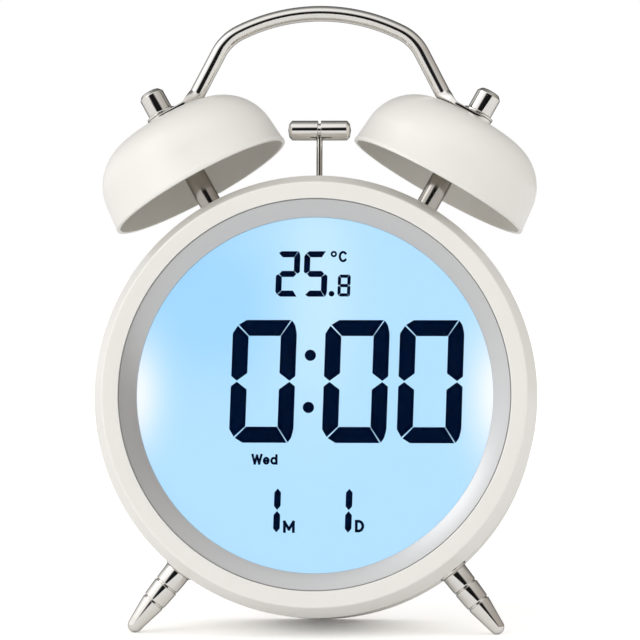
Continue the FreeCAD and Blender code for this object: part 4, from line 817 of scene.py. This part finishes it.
class CLOCK_OT_display(bpy.types.Operator):
    """Build the satin cone, the clear lens and the dark characters on the lit display"""
    bl_idname = "clock.display"
    bl_label = "Display"

    def execute(self, context):
        sizes = context.scene.clock_sizes
        place = stand(sizes)
        steps = sizes.turning_steps
        window = sizes.window_radius / MM
        mouth, seat = 51.8, 53.9
        cone = rounded([(mouth, 0.45, 0.12), (mouth, 3.0, 0), (seat, 3.0, 0), (seat, 4.5, 0),
                        (window, 4.5, 0), (window, 3.2, 0.25)], closed=True, steps=4)
        add_piece("dial_cone", turned_mesh(cone, place @ BACKWARD, steps, closed=True), "satin cone", "case",
                  ["dial_ring"])
        glass = rounded([(0, 4.55, 0), (seat, 4.55, 0.1), (seat, 5.6, 0.1), (0, 5.6, 0)])
        add_piece("lens", turned_mesh(glass, place @ BACKWARD, 96), "clear lens", "case",
                  ["front_lens"])

        outlines = digits(**TIME) + digits(**DEGREES) + digits(**TENTH) + pointed_ones(**DATE_ONES)
        outlines += [spot(*dot) for dot in (*COLON, POINT)] + ring_marks(*DEGREE_SIGN)
        outlines += [outline for place_of in LETTERS for outline in letter(*place_of)]
        marks = [prism(outline, INK_FRONT, INK_BACK, place) for outline in outlines]
        add_piece("display_characters", joined(marks), "digit ink", "case")
        display_finish("lit display", context.scene.clock_colours, place @ Vector((0, PANEL_FRONT * MM, 0)))
        give_finish(frame["nodes"]["lcd_panel"].data, "lit display")
        return {"FINISHED"}


class CLOCK_OT_bells(bpy.types.Operator):
    """Build both bells with their posts, washers and cap nuts"""
    bl_idname = "clock.bells"
    bl_label = "Bells"

    def execute(self, context):
        sizes = context.scene.clock_sizes
        place = stand(sizes)
        steps = sizes.turning_steps
        line, apex = sizes.bell_line, sizes.bell_apex / MM
        wall, rim = sizes.bell_wall / MM, sizes.bell_radius / MM
        flare = math.radians(5.0)
        skirt, shoulder, crown = 7.4, 14.2, math.radians(80)
        upper = rim - skirt * math.tan(flare)
        middle = (upper - shoulder * math.cos(flare), skirt - shoulder * math.sin(flare))
        crown_reach = middle[0] + shoulder * math.cos(crown)
        arch = crown_reach / math.cos(crown)
        arch_centre = (0, middle[1] + shoulder * math.sin(crown) - arch * math.sin(crown))
        lip, lip_height = rim + 0.05, 0.9
        outline = rounded([(lip, 0, 0.25), (lip, lip_height, 0.3), (rim - 0.1, 1.2, 0)], steps=4)[1:]
        outline += arc(middle, shoulder, flare, crown, 22)
        outline += arc(arch_centre, arch, crown, math.pi / 2, 10)
        outline += arc(arch_centre, arch - wall, math.pi / 2, crown, 10)
        outline += arc(middle, shoulder - wall, crown, flare, 22)
        outline += rounded([(rim - wall, lip_height, 0), (rim - wall, 0, 0.2), (lip, 0, 0.25),
                            (lip, lip_height, 0)], steps=4)[:-1]
        post_base, clearance = 59.1, 0.05
        thick, cap = sizes.post_radius / MM, sizes.cap_radius / MM
        post_top = apex - wall - post_base - clearance
        post = rounded([(0, 0, 0), (thick, 0, 0.15), (thick, post_top, 0.25), (0, post_top, 0)], steps=4)
        washer = rounded([(0, 0, 0), (3.65, 0, 0.1), (3.65, 0.8, 0.25), (0, 0.8, 0)], steps=4)
        cap_washer_radius, cap_washer_height = 4.3, 0.6
        cap_washer = rounded([(0, 0, 0), (cap_washer_radius, 0, 0.1),
                              (cap_washer_radius, cap_washer_height, 0.2), (0, cap_washer_height, 0)],
                             steps=4)
        nut = rounded([(0, 0, 0), (cap, 0, 0.3), (cap, 5.5, 0.35), (cap - 0.95, 6.6, 0.9), (0, 6.9, 0)],
                      steps=8)
        on_tab = apex + TAB_HEIGHT
        stacked = {"post_washers": (washer, sizes.case_radius), "cap_washers": (cap_washer, on_tab * MM),
                   "cap_nuts": (nut, (on_tab + cap_washer_height) * MM)}
        for side, sign in SIDES.items():
            angle = sign * sizes.bell_angle
            bell = turned_mesh(outline, place @ outward(angle, sizes.bell_rim, line), steps, closed=True)
            add_piece(side + "_bell_dome", bell, "shell enamel", "case", [side + "_bell"])
            # the posts take the darker chrome copy, painted shade under the bells
            add_piece(side + "_post", turned_mesh(post, place @ outward(angle, post_base * MM, line)),
                      "chrome with painted shade", "case", [side + "_bell_post"])
        for name, (shape, reach) in stacked.items():
            pair = [turned_mesh(shape, place @ outward(sign * sizes.bell_angle, reach, line))
                    for sign in SIDES.values()]
            add_piece("plated_" + name, joined(pair), "plated chrome", "case", [name])
        return {"FINISHED"}


class CLOCK_OT_handle(bpy.types.Operator):
    """Bend the handle rod and flatten its ends over the bells"""
    bl_idname = "clock.handle"
    bl_label = "Handle"

    def execute(self, context):
        sizes = context.scene.clock_sizes
        arch, arch_angle, shoulder = 49.0, math.radians(26.7), 13.0
        top = sizes.handle_height / MM
        arch_centre = Vector((0, top - arch))
        toward = Vector((math.sin(arch_angle), math.cos(arch_angle)))
        shoulder_centre = arch_centre + toward * (arch - shoulder)
        across = Vector((math.cos(sizes.bell_angle), -math.sin(sizes.bell_angle)))
        out = Vector((math.sin(sizes.bell_angle), math.cos(sizes.bell_angle)))
        stud = out * (sizes.bell_apex / MM + TAB_HEIGHT / 2)
        bend = stud - across * TAB_REACH
        to_bend = bend - shoulder_centre
        leg_angle = math.atan2(to_bend.x, to_bend.y) - math.acos(shoulder / to_bend.length)
        leg_normal = Vector((math.sin(leg_angle), math.cos(leg_angle)))
        leg = (bend - (shoulder_centre + leg_normal * shoulder)).normalized()
        rod_end = bend - leg * TAB_BLEND

        half = bow(arch_centre, arch, 0, arch_angle, 20)
        half += bow(shoulder_centre, shoulder, arch_angle, leg_angle, 28) + [rod_end]
        path = [Vector((-point.x, point.y)) for point in reversed(half)] + [Vector((0, top))] + half
        line = bpy.data.meshes.new("path")
        line.from_pydata([(point.x * MM, sizes.bell_line, point.y * MM) for point in path],
                         [(index, index + 1) for index in range(len(path) - 1)], [])
        rod = shaped(line, "Bent rod", Radius=sizes.rod_radius, Steps=48)
        sections = end_sections(rod_end, bend, stud, leg_normal, across, sizes.rod_radius / MM)
        end = skinned(sections, sizes.bell_line)
        other = end.copy()
        other.transform(Matrix.Scale(-1, 4, Vector((1, 0, 0))))
        mesh = joined([rod, end, other])
        mesh.transform(stand(sizes))
        closed_up(mesh, 0.03 * MM)
        add_piece("carrying_handle", mesh, "polished steel", "case", ["handle"], 50)
        return {"FINISHED"}


class CLOCK_OT_feet(bpy.types.Operator):
    """Turn both feet with their grooves, round tips and collars"""
    bl_idname = "clock.feet"
    bl_label = "Feet"

    def execute(self, context):
        sizes = context.scene.clock_sizes
        place = stand(sizes)
        tip = sizes.foot_tip_radius / MM
        reach = foot_length(sizes) / MM
        shank, shank_line = 3.2, 10.6
        foot = rounded([
            (0, 0, 0), (3.6, 0, 0.2), (3.47, 4.55, 0.25), (3.15, 4.75, 0), (3.2, 5.1, 0), (3.5, 5.2, 0.15),
            (3.25, 9.95, 0.25), (2.9, 10.15, 0), (2.95, 10.5, 0), (shank, shank_line, 0.15),
            (tip, reach, 0)], steps=4)
        slope = math.asin((shank - tip) / (reach - shank_line))
        foot = foot[:-1] + arc((0, reach), tip, slope, math.pi / 2, 12)
        wide, tall = 4.1, sizes.collar_height / MM
        collar = rounded([(0, 0, 0), (wide, 0, 0.1), (wide, tall, 0.45), (0, tall, 0)])
        collars = []
        for side, sign in SIDES.items():
            angle = math.pi - sign * sizes.foot_angle
            seat = place @ outward(angle, sizes.case_radius + sizes.collar_height, sizes.foot_line)
            add_piece(side + "_turned_foot", turned_mesh(foot, seat), "plated chrome", "case",
                      [side + "_foot"])
            collars.append(turned_mesh(collar, place @ outward(angle, sizes.case_radius, sizes.foot_line)))
        add_piece("plated_collars", joined(collars), "plated chrome", "case", ["foot_collars"])
        return {"FINISHED"}


class CLOCK_OT_hammer(bpy.types.Operator):
    """Turn the double-ended hammer head and its thin rod"""
    bl_idname = "clock.hammer"
    bl_label = "Hammer"

    def execute(self, context):
        sizes = context.scene.clock_sizes
        place = stand(sizes)
        half, radius, groove = sizes.head_length / MM / 2, sizes.head_radius / MM, 0.4
        neck, nose = radius - 0.8, radius - 0.9
        head = rounded([
            (0, -half, 0), (nose, 0.3 - half, 0.6), (radius, 1.1 - half, 0.25), (radius, -groove, 0.15),
            (neck, -groove, 0), (neck, groove, 0), (radius, groove, 0.15), (radius, half - 1.1, 0.25),
            (nose, half - 0.3, 0.6), (0, half, 0)])
        lay = (place @ Matrix.Translation((0, sizes.bell_line, sizes.head_height))
               @ Matrix.Rotation(math.pi / 2, 4, "Y"))
        add_piece("striker", turned_mesh(head, lay), "plated chrome", "hammer", ["hammer_head"])
        thin, low, high = 0.825, 43.6, 73.0
        rod = rounded([(0, low, 0), (thin, low, 0), (thin, high, 0), (0, high, 0)])
        seat = place @ Matrix.Translation((0, sizes.bell_line, 0))
        add_piece("striker_rod", turned_mesh(rod, seat, 32), "plated chrome", "hammer",
                  ["hammer_rod"])
        return {"FINISHED"}


class CLOCK_OT_screws(bpy.types.Operator):
    """Turn a cross-head screw and set its copies round the rear cover"""
    bl_idname = "clock.screws"
    bl_label = "Cover screws"

    def execute(self, context):
        sizes = context.scene.clock_sizes
        head, height, shank, reach = 1.6, 1.1, 0.9, 4.0
        screw = turned_mesh(rounded([(0, -reach, 0), (shank, -reach, 0.1), (shank, 0, 0), (head, 0, 0.1),
                                     (head, height, 0.5), (0, height, 0)]), Matrix(), 32)
        half, low, high, long = 0.2, height - 0.6, height + 0.5, 0.95
        bar = [(-half, low), (half, low), (half, high), (-half, high)]
        for angle in (0, 90):
            screw = carved(screw, prism(bar, -long, long, Matrix.Rotation(math.radians(angle), 4, "Z")))
        ring = shaped(screw, "Parts round a circle", Count=4, Radius=sizes.screw_circle)
        ring.transform(stand(sizes) @ Matrix.Translation((0, sizes.cover_line, 0)) @ BACKWARD)
        add_piece("cross_head_screws", ring, "drawn steel", "case", ["cover_screws"])
        return {"FINISHED"}


class CLOCK_OT_finishes(bpy.types.Operator):
    """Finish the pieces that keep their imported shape"""
    bl_idname = "clock.finishes"
    bl_label = "Finishes of the packed pieces"

    def execute(self, context):
        wanted = {
            "cover plastic": ["rear_cover", "battery_door"],
            "key plastic": ["mode_key", "set_key", "light_key", "up_key", "down_key", "alarm_slider"],
            "tray plastic": ["display_frame", "board_plugs"],
            "circuit board": ["main_board", "key_board"],
            "black plastic": ["control_chip", "tact_switches", "temperature_sensor", "slide_switch"],
            "can metal": ["clock_crystal", "board_capacitors", "hammer_motor"],
            "drawn steel": ["board_screws", "display_screws", "key_board_screws", "motor_screws",
                            "post_screws", "foot_screws", "bell_studs", "gear_shaft", "hammer_pivot_pin",
                            "motor_shaft", "contact_springs", "contact_plates", "hammer_bracket"],
            "brass": ["motor_pinion"],
            "gear plastic": ["crank_gear", "hammer_lever"],
            "cell wrap": ["battery_cells"],
            "elastomer": ["zebra_connector"],
            "diffuser": ["light_guide", "backlight_leds"],
        }
        for material, names in wanted.items():
            for name in names:
                give_finish(frame["nodes"][name].data, material)
        return {"FINISHED"}


class CLOCK_OT_studio(bpy.types.Operator):
    """Set up the pale floor, the soft lights and the camera"""
    bl_idname = "clock.studio"
    bl_label = "Studio"

    def execute(self, context):
        stage = context.scene.clock_stage
        pale_floor(stage)
        surroundings(stage)
        soft_light("key light", stage.key_strength, 50, (-0.70, -0.70, 0.11))
        soft_light("fill light", stage.fill_strength, 70, (0.97, -0.22, 0.10))
        aim_camera(stage, stand(context.scene.clock_sizes).translation)
        context.scene.view_settings.view_transform = "Standard"
        return {"FINISHED"}


class CLOCK_PT_pieces(bpy.types.Panel):
    """The clock's pieces in the sidebar"""
    bl_label = "Twin-bell alarm clock"
    bl_space_type = "VIEW_3D"
    bl_region_type = "UI"
    bl_category = "Clock"

    def draw(self, context):
        column = self.layout.column()
        for operator in OPERATORS:
            column.operator(operator.bl_idname)
        for name in GROUPS:
            group = getattr(context.scene, name)
            box = self.layout.box()
            for key in group.bl_rna.properties.keys():
                if key not in ("name", "rna_type"):
                    box.prop(group, key)


OPERATORS = (CLOCK_OT_case, CLOCK_OT_display, CLOCK_OT_bells, CLOCK_OT_handle, CLOCK_OT_feet,
             CLOCK_OT_hammer, CLOCK_OT_screws, CLOCK_OT_finishes, CLOCK_OT_studio)
GROUPS = {"clock_sizes": ClockSizes, "clock_colours": ClockColours, "clock_stage": ClockStage}


def register():
    """Registers the settings and the operators."""
    for group in GROUPS.values():
        bpy.utils.register_class(group)
    for name, group in GROUPS.items():
        setattr(bpy.types.Scene, name, PointerProperty(type=group))
    for item in (*OPERATORS, CLOCK_PT_pieces):
        bpy.utils.register_class(item)


def unregister():
    """Takes the settings and the operators out again."""
    for item in (CLOCK_PT_pieces, *reversed(OPERATORS)):
        bpy.utils.unregister_class(item)
    for name in GROUPS:
        delattr(bpy.types.Scene, name)
    for group in GROUPS.values():
        bpy.utils.unregister_class(group)


def main():
    """Builds the clock and its studio."""
    register()
    turning_tree()
    rod_tree()
    ring_tree()
    make_finishes(bpy.context.scene.clock_colours)
    for operator in OPERATORS:
        family, name = operator.bl_idname.split(".")
        getattr(getattr(bpy.ops, family), name)()


if __name__ == "__main__":
    main()
